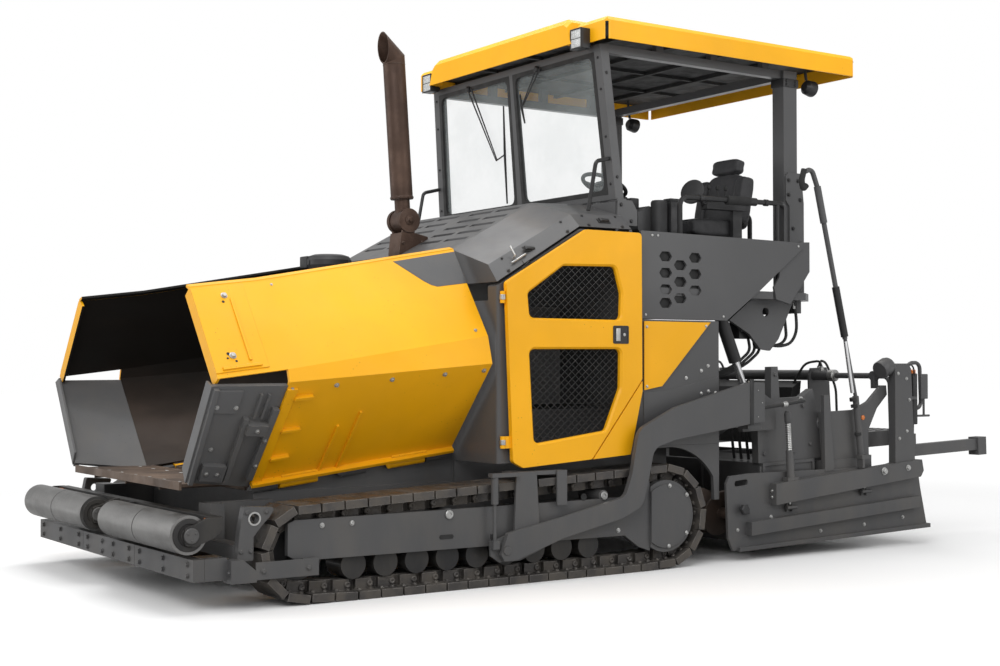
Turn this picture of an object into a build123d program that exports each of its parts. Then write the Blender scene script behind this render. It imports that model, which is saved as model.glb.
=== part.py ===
"""Tracked asphalt paver, as an assembly of separate pieces.

Lengths are in millimetres.  +Z is up, -Y is the hopper end, +Y the screed end and
+X the machine's left side.  The origin is on the ground, midway between the tracks.
"""
import os
from math import cos, radians, sin

from build123d import *

os.makedirs("parts", exist_ok=True)

SIDES = {"left": 1, "right": -1}

# --- driving dimensions -------------------------------------------------------------

# Crawler tracks: the idler is at the front, the sprocket at the rear.
TRACK_IN, TRACK_OUT = 975, 1275
SHOE_THICK, CHAIN_THICK = 45, 60
SHOE_PITCH, SHOE_GAP = 140, 11
FLAT_SHOES = 14
IDLER_Y, IDLER_Z, IDLER_R = -2500, 268, 256
SPROCKET_Y, SPROCKET_Z, SPROCKET_R = -20, 328, 316
CHAIN_IN, CHAIN_OUT = 1055, 1195
LINK_THICK = 30
ROLLER_Y, ROLLER_Z, ROLLER_PITCH, ROLLERS = -2190, 182, 200, 9
FRAME_IN, FRAME_SKIRT, FRAME_OUT = 1000, 1214, 1250

# Main frame and the conveyor tunnel through it.
CHASSIS_HALF = 740
CHASSIS_FRONT, CHASSIS_REAR = -2560, 430
FLOOR_Z = 600
TUNNEL_HALF, TUNNEL_TOP = 620, 960

# Body over the tracks.
BODY_HALF = 1200
BODY_FRONT, BODY_REAR = -1240, 480
SLOPE_TOP_Y = -640
WALL = 25

# Doors hang on a vertical pin at their front edge.
DOOR_FACE = 1250
DOOR_THICK = 32
DOOR_PIN = (1226, -1222)

# Screed lift cylinders: their middles, and the ears beside each upper pin.
LIFT_X, LIFT_EARS, EAR_THICK = 1120, (-58, 48), 10

# Operator platform and canopy.
DECK_Z = 1750
DECK_FRONT, DECK_REAR = -235, 1440
COWL_TOP = 2302
CANOPY_HALF = 1120
CANOPY_FRONT, CANOPY_REAR = -370, 1858
CANOPY_LOW, CANOPY_EDGE, CANOPY_TOP = 3288, 3432, 3462

# Hopper wings fold on a pin line that climbs towards the rear.
WING_FRONT, WING_REAR = -2600, -1290
WING_REACH = -3000
WING_PIN = ((750, -2600, 578), (750, -1290, 733))
KNUCKLE_R = 28

# Push rollers hang on a beam that swings about a vertical pin.
PUSH_Y, PUSH_Z, PUSH_R = -3135, 400, 100
PUSH_IN, PUSH_OUT = 150, 1212
PUSH_PIN_Y = -2910

# The screed hangs on two arms that turn on the tow points.
TOW_Y, TOW_Z = -1262, 205
ARM_IN, ARM_OUT = 1299, 1331
SCREED_TILT = 2.0
SCREED_HALF = 1180
REAR_END = 3235

# Exhaust stack, folding on the clamp above its base; its mouth faces forward.
STACK_Y, STACK_PIN_Z, STACK_KNEE = -1165, 2196, 3245
STACK_R, STACK_NECK, STACK_SHEET = 72, 50, 5
STACK_LEAN = 4


# --- small helpers ------------------------------------------------------------------


def side_plane(x):
    """Outlines on it are (y, z); a push goes towards +X."""
    return Plane.YZ.offset(x)


def front_plane(y):
    """Outlines on it are (x, z); a push goes towards -Y."""
    return Plane.XZ.offset(-y)


def level_plane(z):
    """Outlines on it are (x, y); a push goes up."""
    return Plane.XY.offset(z)


def block(x0, x1, y0, y1, z0, z1, mode=Mode.ADD):
    """A block between two corners, put into the open part."""
    with Locations(((x0 + x1) / 2, (y0 + y1) / 2, (z0 + z1) / 2)):
        Box(abs(x1 - x0), abs(y1 - y0), abs(z1 - z0), mode=mode)


def prism(plane, outline, depth, radius=0, mode=Mode.ADD):
    """A straight-sided outline, with all its corners rounded alike, pushed out from its plane."""
    with BuildSketch(plane, mode=Mode.PRIVATE) as face:
        with BuildLine():
            Polyline(*outline, close=True)
        make_face()
        if radius:
            fillet(face.vertices(), radius)
    extrude(face.sketch, depth, mode=mode)


def rod(start, end, radius, mode=Mode.ADD):
    """A round bar between two points."""
    run = Vector(*end) - Vector(*start)
    with Locations(Plane(origin=start, z_dir=run)):
        Cylinder(radius, run.length, align=(Align.CENTER, Align.CENTER, Align.MIN), mode=mode)


def rail(points, radius, bend):
    """A bent tube, eight-sided, along a path with rounded knees."""
    with BuildLine(mode=Mode.PRIVATE) as path:
        FilletPolyline(*points, radius=bend)
    with BuildSketch(Plane(origin=path.line @ 0, z_dir=path.line % 0), mode=Mode.PRIVATE) as section:
        RegularPolygon(radius, 8)
    sweep(section.sketch, path=path.line)


def skin(sections):
    """A ruled solid through (y, [(x, z), ...]) sections."""
    faces = []
    for y, outline in sections:
        with BuildSketch(front_plane(y), mode=Mode.PRIVATE) as face:
            with BuildLine():
                Polyline(*outline, close=True)
            make_face()
        faces.append(face.sketch.faces()[0])
    loft(faces, ruled=True)


def between(a, b, part):
    """The point that lies a part of the way from a to b."""
    return tuple(p + (q - p) * part for p, q in zip(a, b))


def strip(face, y0, y1, s0, s1, rise, sink=4):
    """A raised bar on a ruled face, given as (y, low, high) at its front and its rear.

    s0 and s1 run from 0 at the low edge to 1 at the high edge, and the bar stands
    `rise` outside the face and sinks into it by `sink`.
    """
    (front, low_front, high_front), (rear, low_rear, high_rear) = face
    sections = []
    for y in (y0, y1):
        part = (y - front) / (rear - front)
        low, high = between(low_front, low_rear, part), between(high_front, high_rear, part)
        span = Vector(high[0] - low[0], high[1] - low[1])
        out = Vector(span.Y, -span.X).normalized()
        corners = [(between(low, high, s0), -sink), (between(low, high, s0), rise),
                   (between(low, high, s1), rise), (between(low, high, s1), -sink)]
        sections.append((y, [(x + out.X * d, z + out.Y * d) for (x, z), d in corners]))
    skin(sections)


def keep(part, node):
    part.label = node
    export_step(part, f"parts/{node}.step")


def keep_pair(part, node):
    """The piece is drawn on the left; its twin is its mirror image."""
    keep(part, f"{node}_left")
    with BuildPart() as twin:
        mirror(part, about=Plane.YZ)
    keep(twin.part, f"{node}_right")


TOW_AXIS = Axis((0, TOW_Y, TOW_Z), (1, 0, 0))


def raise_screed(part):
    """Turns a piece drawn level up to where the screed is carried."""
    return part.rotate(TOW_AXIS, SCREED_TILT)


# --- crawler tracks -----------------------------------------------------------------

FLAT_END = ROLLER_Y + FLAT_SHOES * SHOE_PITCH
LOOP_MIDDLE = Vector(0, (IDLER_Y + SPROCKET_Y) / 2, SPROCKET_Z)


def track_outline(inset, x):
    """The loop's side face: idler, sprocket, and the first and last flat rollers."""
    with BuildSketch(side_plane(x)) as loop:
        with Locations((IDLER_Y, IDLER_Z)):
            Circle(IDLER_R - inset)
        with Locations((SPROCKET_Y, SPROCKET_Z)):
            Circle(SPROCKET_R - inset)
        with Locations((ROLLER_Y, ROLLER_Z), (FLAT_END, ROLLER_Z)):
            Circle(ROLLER_Z - inset)
        make_hull()
    return loop.sketch


def shoe_planes():
    """One plane at each shoe's middle: its Y points into the loop, its Z along the chain."""
    shoe_line = track_outline(SHOE_THICK / 2, 0).faces()[0].outer_wire()
    flat_run = shoe_line.edges().sort_by(Axis.Z)[0]
    return_run = Wire(shoe_line.edges().sort_by(Axis.Z)[1:])
    for run, shoes in ((flat_run, FLAT_SHOES), (return_run, round(return_run.length / SHOE_PITCH))):
        for step in range(shoes):
            along = (step + 0.5) / shoes
            spot, ahead = run @ along, run % along
            place = Plane(origin=spot, x_dir=(1, 0, 0), z_dir=ahead)
            if place.y_dir.dot(LOOP_MIDDLE - spot) < 0:
                place = Plane(origin=spot, x_dir=(1, 0, 0), z_dir=-ahead)
            yield place


LINK_INSET = (SHOE_THICK + CHAIN_THICK) / 2
with BuildPart() as track:
    # The bushes make one closed band between the two rows of links.
    chain_middle = (CHAIN_IN + LINK_THICK + CHAIN_OUT - LINK_THICK) / 2
    band_width = CHAIN_OUT - CHAIN_IN - 2 * LINK_THICK
    extrude(track_outline(SHOE_THICK - 8, chain_middle - band_width / 2), band_width)
    extrude(track_outline(SHOE_THICK + CHAIN_THICK, chain_middle - band_width / 2), band_width,
            mode=Mode.SUBTRACT)
    # Shoes, and the links that each of them is bolted to.
    places = list(shoe_planes())
    for x, wide, inset, thick, long in (
        ((TRACK_IN + TRACK_OUT) / 2, TRACK_OUT - TRACK_IN, 0, SHOE_THICK, SHOE_PITCH - SHOE_GAP),
        (CHAIN_IN + LINK_THICK / 2, LINK_THICK + 4, LINK_INSET - 4, CHAIN_THICK + 4, SHOE_PITCH * 0.68),
        (CHAIN_OUT - LINK_THICK / 2, LINK_THICK + 4, LINK_INSET - 4, CHAIN_THICK + 4, SHOE_PITCH * 0.68),
    ):
        with Locations(*places):
            with Locations((x, inset, 0)):
                Box(wide, thick, long)
keep_pair(track.part, "track")

CHAIN_BORE = SHOE_THICK + CHAIN_THICK + 1
with BuildPart() as track_wheels:
    for y, z, radius in (
        (IDLER_Y, IDLER_Z, IDLER_R - CHAIN_BORE),
        (SPROCKET_Y, SPROCKET_Z, SPROCKET_R - CHAIN_BORE),
    ):
        rod((1090, y, z), (1160, y, z), radius)
        rod((1030, y, z), (1213, y, z), radius * 0.45)
    for step in range(ROLLERS):
        y = ROLLER_Y + step * ROLLER_PITCH
        rod((1036, y, ROLLER_Z), (1213, y, ROLLER_Z), ROLLER_Z - CHAIN_BORE)
keep_pair(track_wheels.part, "track_wheels")

ROLLER_CROWN = ROLLER_Z + ROLLER_Z - CHAIN_BORE + 16
FRAME_REAR, COVER_CHORD, COVER_R = -340, -142, 222
with BuildPart() as track_frame:
    # Box beam above the rollers, with the outer skirt that hangs over them.
    prism(side_plane(FRAME_IN),
          [(-2310, ROLLER_CROWN), (FRAME_REAR, ROLLER_CROWN), (FRAME_REAR, 452), (-2310, 402)],
          FRAME_SKIRT - FRAME_IN)
    prism(side_plane(FRAME_SKIRT),
          [(-2600, 262), (-2545, 232), (FRAME_REAR, 226), (-230, 150), (COVER_CHORD, 120),
           (COVER_CHORD, 545),
           (-230, 520), (FRAME_REAR, 458), (-2560, 446), (-2600, 430)],
          FRAME_OUT - FRAME_SKIRT)
    # Flat-fronted cover over the final drive, with its pressed step.
    for radius, face in ((COVER_R, FRAME_OUT + 10), (COVER_R - 26, FRAME_OUT + 20)):
        with BuildSketch(side_plane(FRAME_SKIRT)) as cover:
            with Locations((SPROCKET_Y, SPROCKET_Z)):
                Circle(radius)
            with Locations((COVER_CHORD - COVER_R / 2, SPROCKET_Z)):
                Rectangle(COVER_R, 3 * COVER_R, mode=Mode.SUBTRACT)
        extrude(amount=face - FRAME_SKIRT)
    # Carrier rollers hold up the return run.
    for y, z in ((-1603, 424), (-502, 476)):
        rod((1040, y, z), (FRAME_OUT, y, z), 34)
keep_pair(track_frame.part, "track_frame")

# --- main frame, conveyor and engine ------------------------------------------------


def pin_point(part):
    """A point on the wings' pin line, from 0 at its front to 1 at its rear."""
    return between(*WING_PIN, part)


CHASSIS_KNUCKLES = ((0.02, 0.13), (0.44, 0.56), (0.87, 0.98))
WING_KNUCKLES = ((0.14, 0.32), (0.68, 0.86))
HOPPER_SIDE = 716
CROSS_AXLES = (-1950, -900)

with BuildPart() as chassis:
    block(-CHASSIS_HALF, CHASSIS_HALF, CHASSIS_FRONT, CHASSIS_REAR, 190, FLOOR_Z - 40)
    block(-CHASSIS_HALF + 30, CHASSIS_HALF - 30, CHASSIS_FRONT + 40, CHASSIS_REAR - 30, 215, FLOOR_Z - 70,
          mode=Mode.SUBTRACT)
    block(-CHASSIS_HALF, CHASSIS_HALF, BODY_FRONT, CHASSIS_REAR, TUNNEL_TOP, TUNNEL_TOP + 25)
    for side in (1, -1):
        # Side walls of the conveyor tunnel, up to the body.
        block(side * (TUNNEL_HALF + 5), side * CHASSIS_HALF, BODY_FRONT, CHASSIS_REAR, FLOOR_Z - 40,
              TUNNEL_TOP)
        # Rising rail beside the hopper floor, with the hinge eyes of the wing.
        rail_in = HOPPER_SIDE - 40 if side > 0 else -HOPPER_SIDE
        prism(side_plane(rail_in), [(-2570, FLOOR_Z - 40), (BODY_FRONT, FLOOR_Z - 40), (BODY_FRONT, 735),
                                    (-2570, 578)], 40)
        for start, end in CHASSIS_KNUCKLES:
            (x, y0, z0), (_, y1, z1) = pin_point(start), pin_point(end)
            rod((side * x, y0, z0), (side * x, y1, z1), KNUCKLE_R)
            prism(side_plane(min(side * HOPPER_SIDE, side * x) - 2),
                  [(y0, z0 - 20), (y1, z1 - 20), (y1, z1 + 20), (y0, z0 + 20)], x - HOPPER_SIDE + 4)
        # Feet of the cross axles, which carry the track frames.
        for y in CROSS_AXLES:
            rod((side * (CHASSIS_HALF - 5), y, 345), (side * (FRAME_IN - 0.5), y, 345), 70)
keep(chassis.part, "chassis")

CONVEYOR_BARS, BAR_PITCH = 15, 190
with BuildPart() as conveyor:
    block(-TUNNEL_HALF, TUNNEL_HALF, CHASSIS_FRONT, CHASSIS_REAR + 60, FLOOR_Z - 39, FLOOR_Z + 5)
    for step in range(CONVEYOR_BARS):
        y = CHASSIS_FRONT + 90 + step * BAR_PITCH
        for side in (1, -1):
            block(side * 30, side * (TUNNEL_HALF - 40), y, y + 40, FLOOR_Z + 5, FLOOR_Z + 25)
    block(-25, 25, CHASSIS_FRONT, CHASSIS_REAR + 40, FLOOR_Z + 5, FLOOR_Z + 45)
keep(conveyor.part, "conveyor")

with BuildPart() as engine:
    block(-480, 480, -1180, -260, 1010, 1640)
keep(engine.part, "engine")

# --- bumper, push beam and rollers --------------------------------------------------

with BuildPart() as bumper:
    # Three guard beams in a row, on one rail that the centre tongue carries.
    for x0, x1 in ((-1244, -424), (-420, 420), (424, 1244)):
        block(x0, x1, -3122, -3062, 162, 276)
    block(-1189, 1189, -3062, -3030, 180, 260)
    block(-300, 300, -3030, -2561, 200, 260)
    # Pin that the push beam swings on.
    rod((0, PUSH_PIN_Y, 260), (0, PUSH_PIN_Y, 298), 40)
keep(bumper.part, "bumper")

TOW_PLATE_LINE = [(-2882, 250), (-2790, 250), (-2790, 372), (-2742, 430), (-2700, 470), (-2668, 520),
                  (-2842, 532), (-2868, 400)]
TOW_HOLE_Y, TOW_HOLE_Z, TOW_HOLE_R = -2786, 466, 26
with BuildPart() as tow_plate:
    # Upright plate with the tow hole, on the block that ends the guard beam.
    prism(side_plane(1190), TOW_PLATE_LINE, 50, radius=12)
    prism(side_plane(1190), [(-2938, 145), (-2796, 145), (-2796, 202), (-2870, 264), (-2938, 264)], 104)
    block(1190, 1244, -3061, -2938, 162, 276)
    # Strap along the track's outer face to the track frame.
    block(1280, 1294, -2800, -2440, 156, 246)
    block(FRAME_OUT + 0.5, 1280, -2520, -2440, 190, 246)
    rod((1180, TOW_HOLE_Y, TOW_HOLE_Z), (1250, TOW_HOLE_Y, TOW_HOLE_Z), TOW_HOLE_R, mode=Mode.SUBTRACT)
    # Arm back to the main frame, inside the track.
    block(900, 1190, -2882, -2800, 258, 330)
    block(CHASSIS_HALF + 0.5, 900, -2882, -2800, 258, 520)
    block(CHASSIS_HALF + 0.5, 820, -2800, -2480, 300, 520)
keep_pair(tow_plate.part, "tow_plate")

PUSH_BRACKET = [(-3165, 350), (-3105, 345), (-3010, 380), (-2960, 425), (-2960, 485), (-3040, 485),
                (-3110, 455), (-3165, 440)]
with BuildPart() as push_beam:
    block(-1220, 1220, -3010, -2950, 430, 485)
    block(-120, 120, -3010, -2860, 300, 430)
    for x0, x1 in ((-PUSH_OUT - 34, -PUSH_OUT - 8), (-PUSH_IN + 8, -PUSH_IN + 34),
                   (PUSH_IN - 34, PUSH_IN - 8), (PUSH_OUT + 8, PUSH_OUT + 34)):
        prism(side_plane(x0), PUSH_BRACKET, x1 - x0, radius=12)
keep(push_beam.part, "push_beam")

for name, side in SIDES.items():
    with BuildPart() as push_roller:
        rod((side * PUSH_IN, PUSH_Y, PUSH_Z), (side * PUSH_OUT, PUSH_Y, PUSH_Z), PUSH_R)
        middle = side * (PUSH_IN + PUSH_OUT) / 2
        with BuildSketch(side_plane(middle - 4)) as groove:
            with Locations((PUSH_Y, PUSH_Z)):
                Circle(PUSH_R + 2)
                Circle(PUSH_R - 5, mode=Mode.SUBTRACT)
        extrude(amount=8, mode=Mode.SUBTRACT)
        rod((side * (PUSH_IN - 7), PUSH_Y, PUSH_Z), (side * (PUSH_OUT + 7), PUSH_Y, PUSH_Z), 28)
    keep(push_roller.part, f"push_roller_{name}")

# --- hopper -------------------------------------------------------------------------

# Outer line of a wing, from the pin up, with the step in to its inner face:
#   (x, z) front, (x, z) rear, (dx, dz) inwards
WING_LINE = (
    ((774, 607), (774, 762), (-15, 13)),
    ((1268, 1170), (1222, 1270), (-20, 4)),
    ((1248, 1238), (1176, 1430), (-20, -4)),
    ((874, 1723), (800, 1958), (-16, -12)),
)
# Its faces for strip(): the lower, leaning panel and the upper one.
LOWER_PANEL = ((WING_FRONT, WING_LINE[0][0], WING_LINE[1][0]),
               (WING_REAR, WING_LINE[0][1], WING_LINE[1][1]))
UPPER_PANEL = ((WING_FRONT, WING_LINE[2][0], WING_LINE[3][0]),
               (WING_REAR, WING_LINE[2][1], WING_LINE[3][1]))
REACH_PANEL = ((WING_REACH, (1258, 1190), (884, 1674)), (WING_FRONT, WING_LINE[2][0], WING_LINE[3][0]))
FLAP_PANEL = ((-3018, (905, 640), (1252, 1152)), (WING_FRONT - 2, (762, 592), (1252, 1152)))


def wing_section(column, rows):
    outer = [row[column] for row in rows]
    inner = [(x + dx, z + dz) for (x, z), (dx, dz) in zip(outer, [row[2] for row in rows])]
    return outer + inner[::-1]


with BuildPart() as wing:
    skin([(WING_FRONT, wing_section(0, WING_LINE)), (WING_REAR, wing_section(1, WING_LINE))])
    # The upper panel reaches on over the front flap.
    skin([(WING_REACH, [(1258, 1190), (884, 1674), (868, 1662), (1238, 1186)]),
          (WING_FRONT, wing_section(0, WING_LINE[2:]))])
    # Folded edge inwards along the top, and outwards along the bottom.
    skin([(WING_REACH, [(886, 1676), (884, 1656), (836, 1676), (838, 1690)]),
          (WING_FRONT, [(876, 1726), (872, 1706), (826, 1726), (828, 1740)]),
          (WING_REAR, [(802, 1961), (798, 1941), (752, 1958), (754, 1972)])])
    strip(LOWER_PANEL, WING_FRONT, WING_REAR, 0.0, 0.03, 36)
    # Folded front edge, inwards from the upper panel.
    skin([(WING_REACH, [(1258, 1190), (884, 1674), (826, 1630), (1200, 1150)]),
          (WING_REACH + 14, [(1258, 1191), (884, 1675), (826, 1631), (1200, 1151)])])
    # Doubler at the front of the upper panel, with its rib and step.
    strip(REACH_PANEL, WING_REACH, -2700, 0.05, 0.97, 5)
    strip(REACH_PANEL, -2800, -2785, 0.14, 0.82, 12)
    strip(REACH_PANEL, -2960, -2740, 0.07, 0.1, 14)
    # Stiffeners: along the lower panel's front edge and up its face.
    strip(LOWER_PANEL, WING_FRONT, WING_FRONT + 60, 0.0, 0.94, 14)
    for y, top in ((-2190, 0.5), (-2075, 0.62)):
        strip(LOWER_PANEL, y, y + 16, 0.02, top, 13)
    for low in (0.24, 0.52, 0.84):
        strip(LOWER_PANEL, WING_FRONT + 60, WING_FRONT + 170, low, low + 0.025, 26)
    # Knuckles on the pin line, each with the web that carries the panel.
    for start, end in WING_KNUCKLES:
        (x, y0, z0), (_, y1, z1) = pin_point(start), pin_point(end)
        rod((x, y0, z0), (x, y1, z1), KNUCKLE_R)
        skin([(y0, [(x - 10, z0 + 8), (x + 8, z0 - 10), (x + 52, z0 + 42), (x + 34, z0 + 60)]),
              (y1, [(x - 10, z1 + 8), (x + 8, z1 - 10), (x + 52, z1 + 42), (x + 34, z1 + 60)])])
keep_pair(wing.part, "wing")

with BuildPart() as wing_flap:
    skin([(-3018, [(905, 640), (1252, 1152), (1232, 1164), (885, 650)]),
          (WING_FRONT - 2, [(762, 592), (1252, 1152), (1232, 1166), (744, 610)])])
    # Folded front edge.
    skin([(-3030, [(905, 640), (1252, 1152), (1180, 1180), (866, 716)]),
          (-3018, [(905, 640), (1252, 1152), (1180, 1180), (866, 716)])])
    # Long edge channels, the cap plate at the top and the boxes on the outer face.
    strip(FLAP_PANEL, -3018, -2990, 0.0, 0.98, 22)
    strip(FLAP_PANEL, -2800, -2770, 0.05, 0.7, 26)
    strip(FLAP_PANEL, -2650, -2612, 0.1, 0.8, 30)
    strip(FLAP_PANEL, -2990, -2850, 0.74, 0.96, 12)
    strip(FLAP_PANEL, -2770, -2650, 0.56, 0.66, 44)
    strip(FLAP_PANEL, -2960, -2810, 0.06, 0.22, 30)
    for y in (-2745, -2700):
        strip(FLAP_PANEL, y, y + 12, 0.7, 0.93, 16)
keep_pair(wing_flap.part, "wing_flap")

APRON_HINGE = (-2600, 620)
with BuildPart() as apron:
    prism(level_plane(612), [(-712, -2606), (712, -2606), (835, -3024), (-835, -3024)], 16)
    block(-838, 838, -3034, -3020, 596, 640)
    for x in (-520, 0, 520):
        block(x - 6, x + 6, -3020, -2630, 580, 613)
    rod((-664, *APRON_HINGE), (664, *APRON_HINGE), 14)
keep(apron.part, "apron")

# --- body ---------------------------------------------------------------------------

ARCH_FRONT, ARCH_MIDDLE, ARCH_REAR = (20, 746), (272, 694), (430, 549)
BODY_HOLLOW = [
    (BODY_FRONT + WALL, 300), (BODY_FRONT + WALL, 1707), (SLOPE_TOP_Y, 2200), (DECK_FRONT - WALL, 2200),
    (DECK_FRONT - WALL, 1520), (BODY_REAR - WALL, 1520), (BODY_REAR - WALL, 300),
]
DOOR_OPENING = [(-1150, 760), (-340, 860), (-260, 1100), (-260, 2040), (-640, 2040), (-1150, 1735)]

with BuildPart() as body_shell:
    with BuildSketch(side_plane(-BODY_HALF)) as body_face:
        with BuildLine():
            Polyline(ARCH_FRONT, (-160, 746), (-200, 712), (BODY_FRONT, 690), (BODY_FRONT, 1722),
                     (SLOPE_TOP_Y, 2082), (DECK_FRONT, 2082), (DECK_FRONT, 1545), (BODY_REAR, 1545),
                     (BODY_REAR, 401), (440, 401), ARCH_REAR)
            ThreePointArc(ARCH_REAR, ARCH_MIDDLE, ARCH_FRONT)
        make_face()
    extrude(amount=2 * BODY_HALF)
    fillet(body_shell.edges().filter_by(Axis.Z).group_by(Axis.Y)[0], 22)
    prism(side_plane(-BODY_HALF + WALL), BODY_HOLLOW, 2 * (BODY_HALF - WALL), mode=Mode.SUBTRACT)
    prism(side_plane(-1100), [(BODY_FRONT - 10, 1640), (BODY_FRONT - 10, 2200), (DECK_FRONT - WALL, 2200),
                              (DECK_FRONT - WALL, 1640)], 2200, mode=Mode.SUBTRACT)
    block(-CHASSIS_HALF - 1, CHASSIS_HALF + 1, BODY_FRONT - 10, BODY_REAR + 10, 300, TUNNEL_TOP + 26,
          mode=Mode.SUBTRACT)
    block(-1150, 1150, BODY_REAR - 60, BODY_REAR + 10, 380, 660, mode=Mode.SUBTRACT)
    prism(side_plane(-BODY_HALF - 1), DOOR_OPENING, 2 * BODY_HALF + 2, mode=Mode.SUBTRACT)
    # Outer skin sheet low on the side wall, with its cut edge.
    for x in (-BODY_HALF - 6, BODY_HALF):
        prism(side_plane(x),
              [(-150, 760), (BODY_REAR - 4, 760), (BODY_REAR - 4, 1186), (10, 1100), (-150, 1094)], 6)
keep(body_shell.part, "body_shell")

# Hood: (y, crest z, shoulder z, eave z)
HOOD_SECTIONS = (
    (BODY_FRONT, 1965, 1850, 1745),
    (SLOPE_TOP_Y, 2285, 2180, 2098),
    (DECK_FRONT - 2, 2300, 2192, 2100),
)
HOOD_SHEET = 20
# Rows of cooling slots across the hood's slope.
SLOT_ROWS, SLOT_PITCH, SLOT_WIDE = 5, 98, 34
SLOT_SPANS = ((70, 330), (380, 640))


def hood_crest(y):
    """Height of the hood's middle on its front slope."""
    (front, low, _, _), (rear, high, _, _) = HOOD_SECTIONS[:2]
    return low + (high - low) * (y - front) / (rear - front)


def hood_section(crest, shoulder, eave, inset):
    return [(1196 - inset, eave), (1100 - inset, shoulder - inset), (700 - inset, crest - inset),
            (inset - 700, crest - inset), (inset - 1100, shoulder - inset), (inset - 1196, eave)]


with BuildPart() as hood_hollow:
    skin([(y + HOOD_SHEET if step == 0 else y, hood_section(crest, shoulder, eave - 1, HOOD_SHEET))
          for step, (y, crest, shoulder, eave) in enumerate(HOOD_SECTIONS)])
with BuildPart() as hood:
    skin([(y, hood_section(crest, shoulder, eave, 0)) for y, crest, shoulder, eave in HOOD_SECTIONS])
    add(hood_hollow.part, mode=Mode.SUBTRACT)
    for row in range(SLOT_ROWS):
        y = SLOPE_TOP_Y - 70 - row * SLOT_PITCH
        for start, end in SLOT_SPANS:
            for side in (1, -1):
                block(side * start, side * end, y, y + SLOT_WIDE, 1900, 2400, mode=Mode.SUBTRACT)
keep(hood.part, "hood")

# --- service doors ------------------------------------------------------------------

# The door ends on a slant that the tow arm clears, raised or lowered; a fixed corner fills the rest.
DOOR_LINE = [(-1210, 1742), (-626, 2076), (-200, 2076), (-197, 1175), (-588, 697), (-1095, 664),
             (-1165, 700)]
DOOR_FIXED_CORNER = [(-196, 1163), (-195, 1103), (-290, 716), (-577, 697)]
UPPER_WINDOW = [(-1055, 1683), (-797, 1852), (-405, 1862), (-357, 1700), (-363, 1537), (-1040, 1538)]
LOWER_WINDOW = [(-1044, 1355), (-363, 1360), (-368, 1122), (-482, 866), (-1010, 800)]
DOOR_CORNER, WINDOW_CORNER, WINDOW_BEVEL = 28, 34, 12

with BuildPart() as service_door:
    prism(side_plane(DOOR_FACE - DOOR_THICK), DOOR_LINE, DOOR_THICK, radius=DOOR_CORNER)
    for window in (UPPER_WINDOW, LOWER_WINDOW):
        prism(side_plane(DOOR_FACE - DOOR_THICK), window, DOOR_THICK, radius=WINDOW_CORNER,
              mode=Mode.SUBTRACT)
    outer_face = service_door.faces().sort_by(Axis.X)[-1]
    chamfer(outer_face.inner_wires().edges(), WINDOW_BEVEL)
    # Pin knuckles at the front edge, on short straps.
    for z, strap_end in ((780, -1150), (1620, -1190)):
        rod((*DOOR_PIN, z), (*DOOR_PIN, z + 70), 15)
        block(DOOR_PIN[0] - 6, DOOR_PIN[0] + 6, DOOR_PIN[1], strap_end, z, z + 70)
keep_pair(service_door.part, "service_door")

MESH_LINES = (
    [(-1080, 785), (-548, 785), (-335, 1045), (-335, 1375), (-1080, 1375)],
    [(-1080, 1522), (-335, 1522), (-335, 1878), (-1080, 1878)],
)
with BuildPart() as door_mesh:
    for mesh_line in MESH_LINES:
        prism(side_plane(DOOR_FACE - DOOR_THICK - 6), mesh_line, 6)
keep_pair(door_mesh.part, "door_mesh")

# --- rear quarter and platform ------------------------------------------------------

with BuildPart() as quarter_panel:
    prism(side_plane(BODY_HALF + 7), [(-150, 1107), (-6, 1131), (400, 1535), (-150, 1535)], 6)
    prism(side_plane(BODY_HALF), DOOR_FIXED_CORNER, DOOR_FACE - BODY_HALF)
keep_pair(quarter_panel.part, "quarter_panel")

# Hexagonal holes through the side panel: (y, z) of each middle.
HEX_HOLES = ((34, 1944), (280, 1945), (155, 1893), (34, 1841), (280, 1841), (155, 1788), (34, 1737),
             (280, 1737), (155, 1684), (34, 1652))
HEX_LONG, HEX_FLAT, HEX_HIGH = 54, 30, 31
SIDE_PANEL_X, SIDE_PANEL_THICK = 1186, 16
with BuildPart() as side_panel:
    prism(side_plane(SIDE_PANEL_X),
          [(-165, 1550), (551, 1550), (846, 1752), (1245, 2050), (1245, 2085), (-165, 2098)],
          SIDE_PANEL_THICK, radius=10)
    with BuildSketch(side_plane(SIDE_PANEL_X)) as holes:
        with BuildLine():
            Polyline((HEX_LONG, 0), (HEX_FLAT, HEX_HIGH), (-HEX_FLAT, HEX_HIGH), (-HEX_LONG, 0),
                     (-HEX_FLAT, -HEX_HIGH), (HEX_FLAT, -HEX_HIGH), close=True)
        make_face()
        fillet(holes.vertices(), 10)
    for y, z in HEX_HOLES:
        extrude(holes.sketch.moved(Location((0, y, z))), SIDE_PANEL_THICK, mode=Mode.SUBTRACT)
    # Small plate behind its rear end, and the folded edge along the bottom.
    prism(side_plane(SIDE_PANEL_X - 16),
          [(1040, 2080), (1322, 2094), (1322, 1894), (1141, 1670), (1010, 1700), (990, 1780),
           (1040, 1850)], 16)
    block(SIDE_PANEL_X - 40, SIDE_PANEL_X, -150, 440, 1550, 1560)
keep_pair(side_panel.part, "side_panel")

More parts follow.
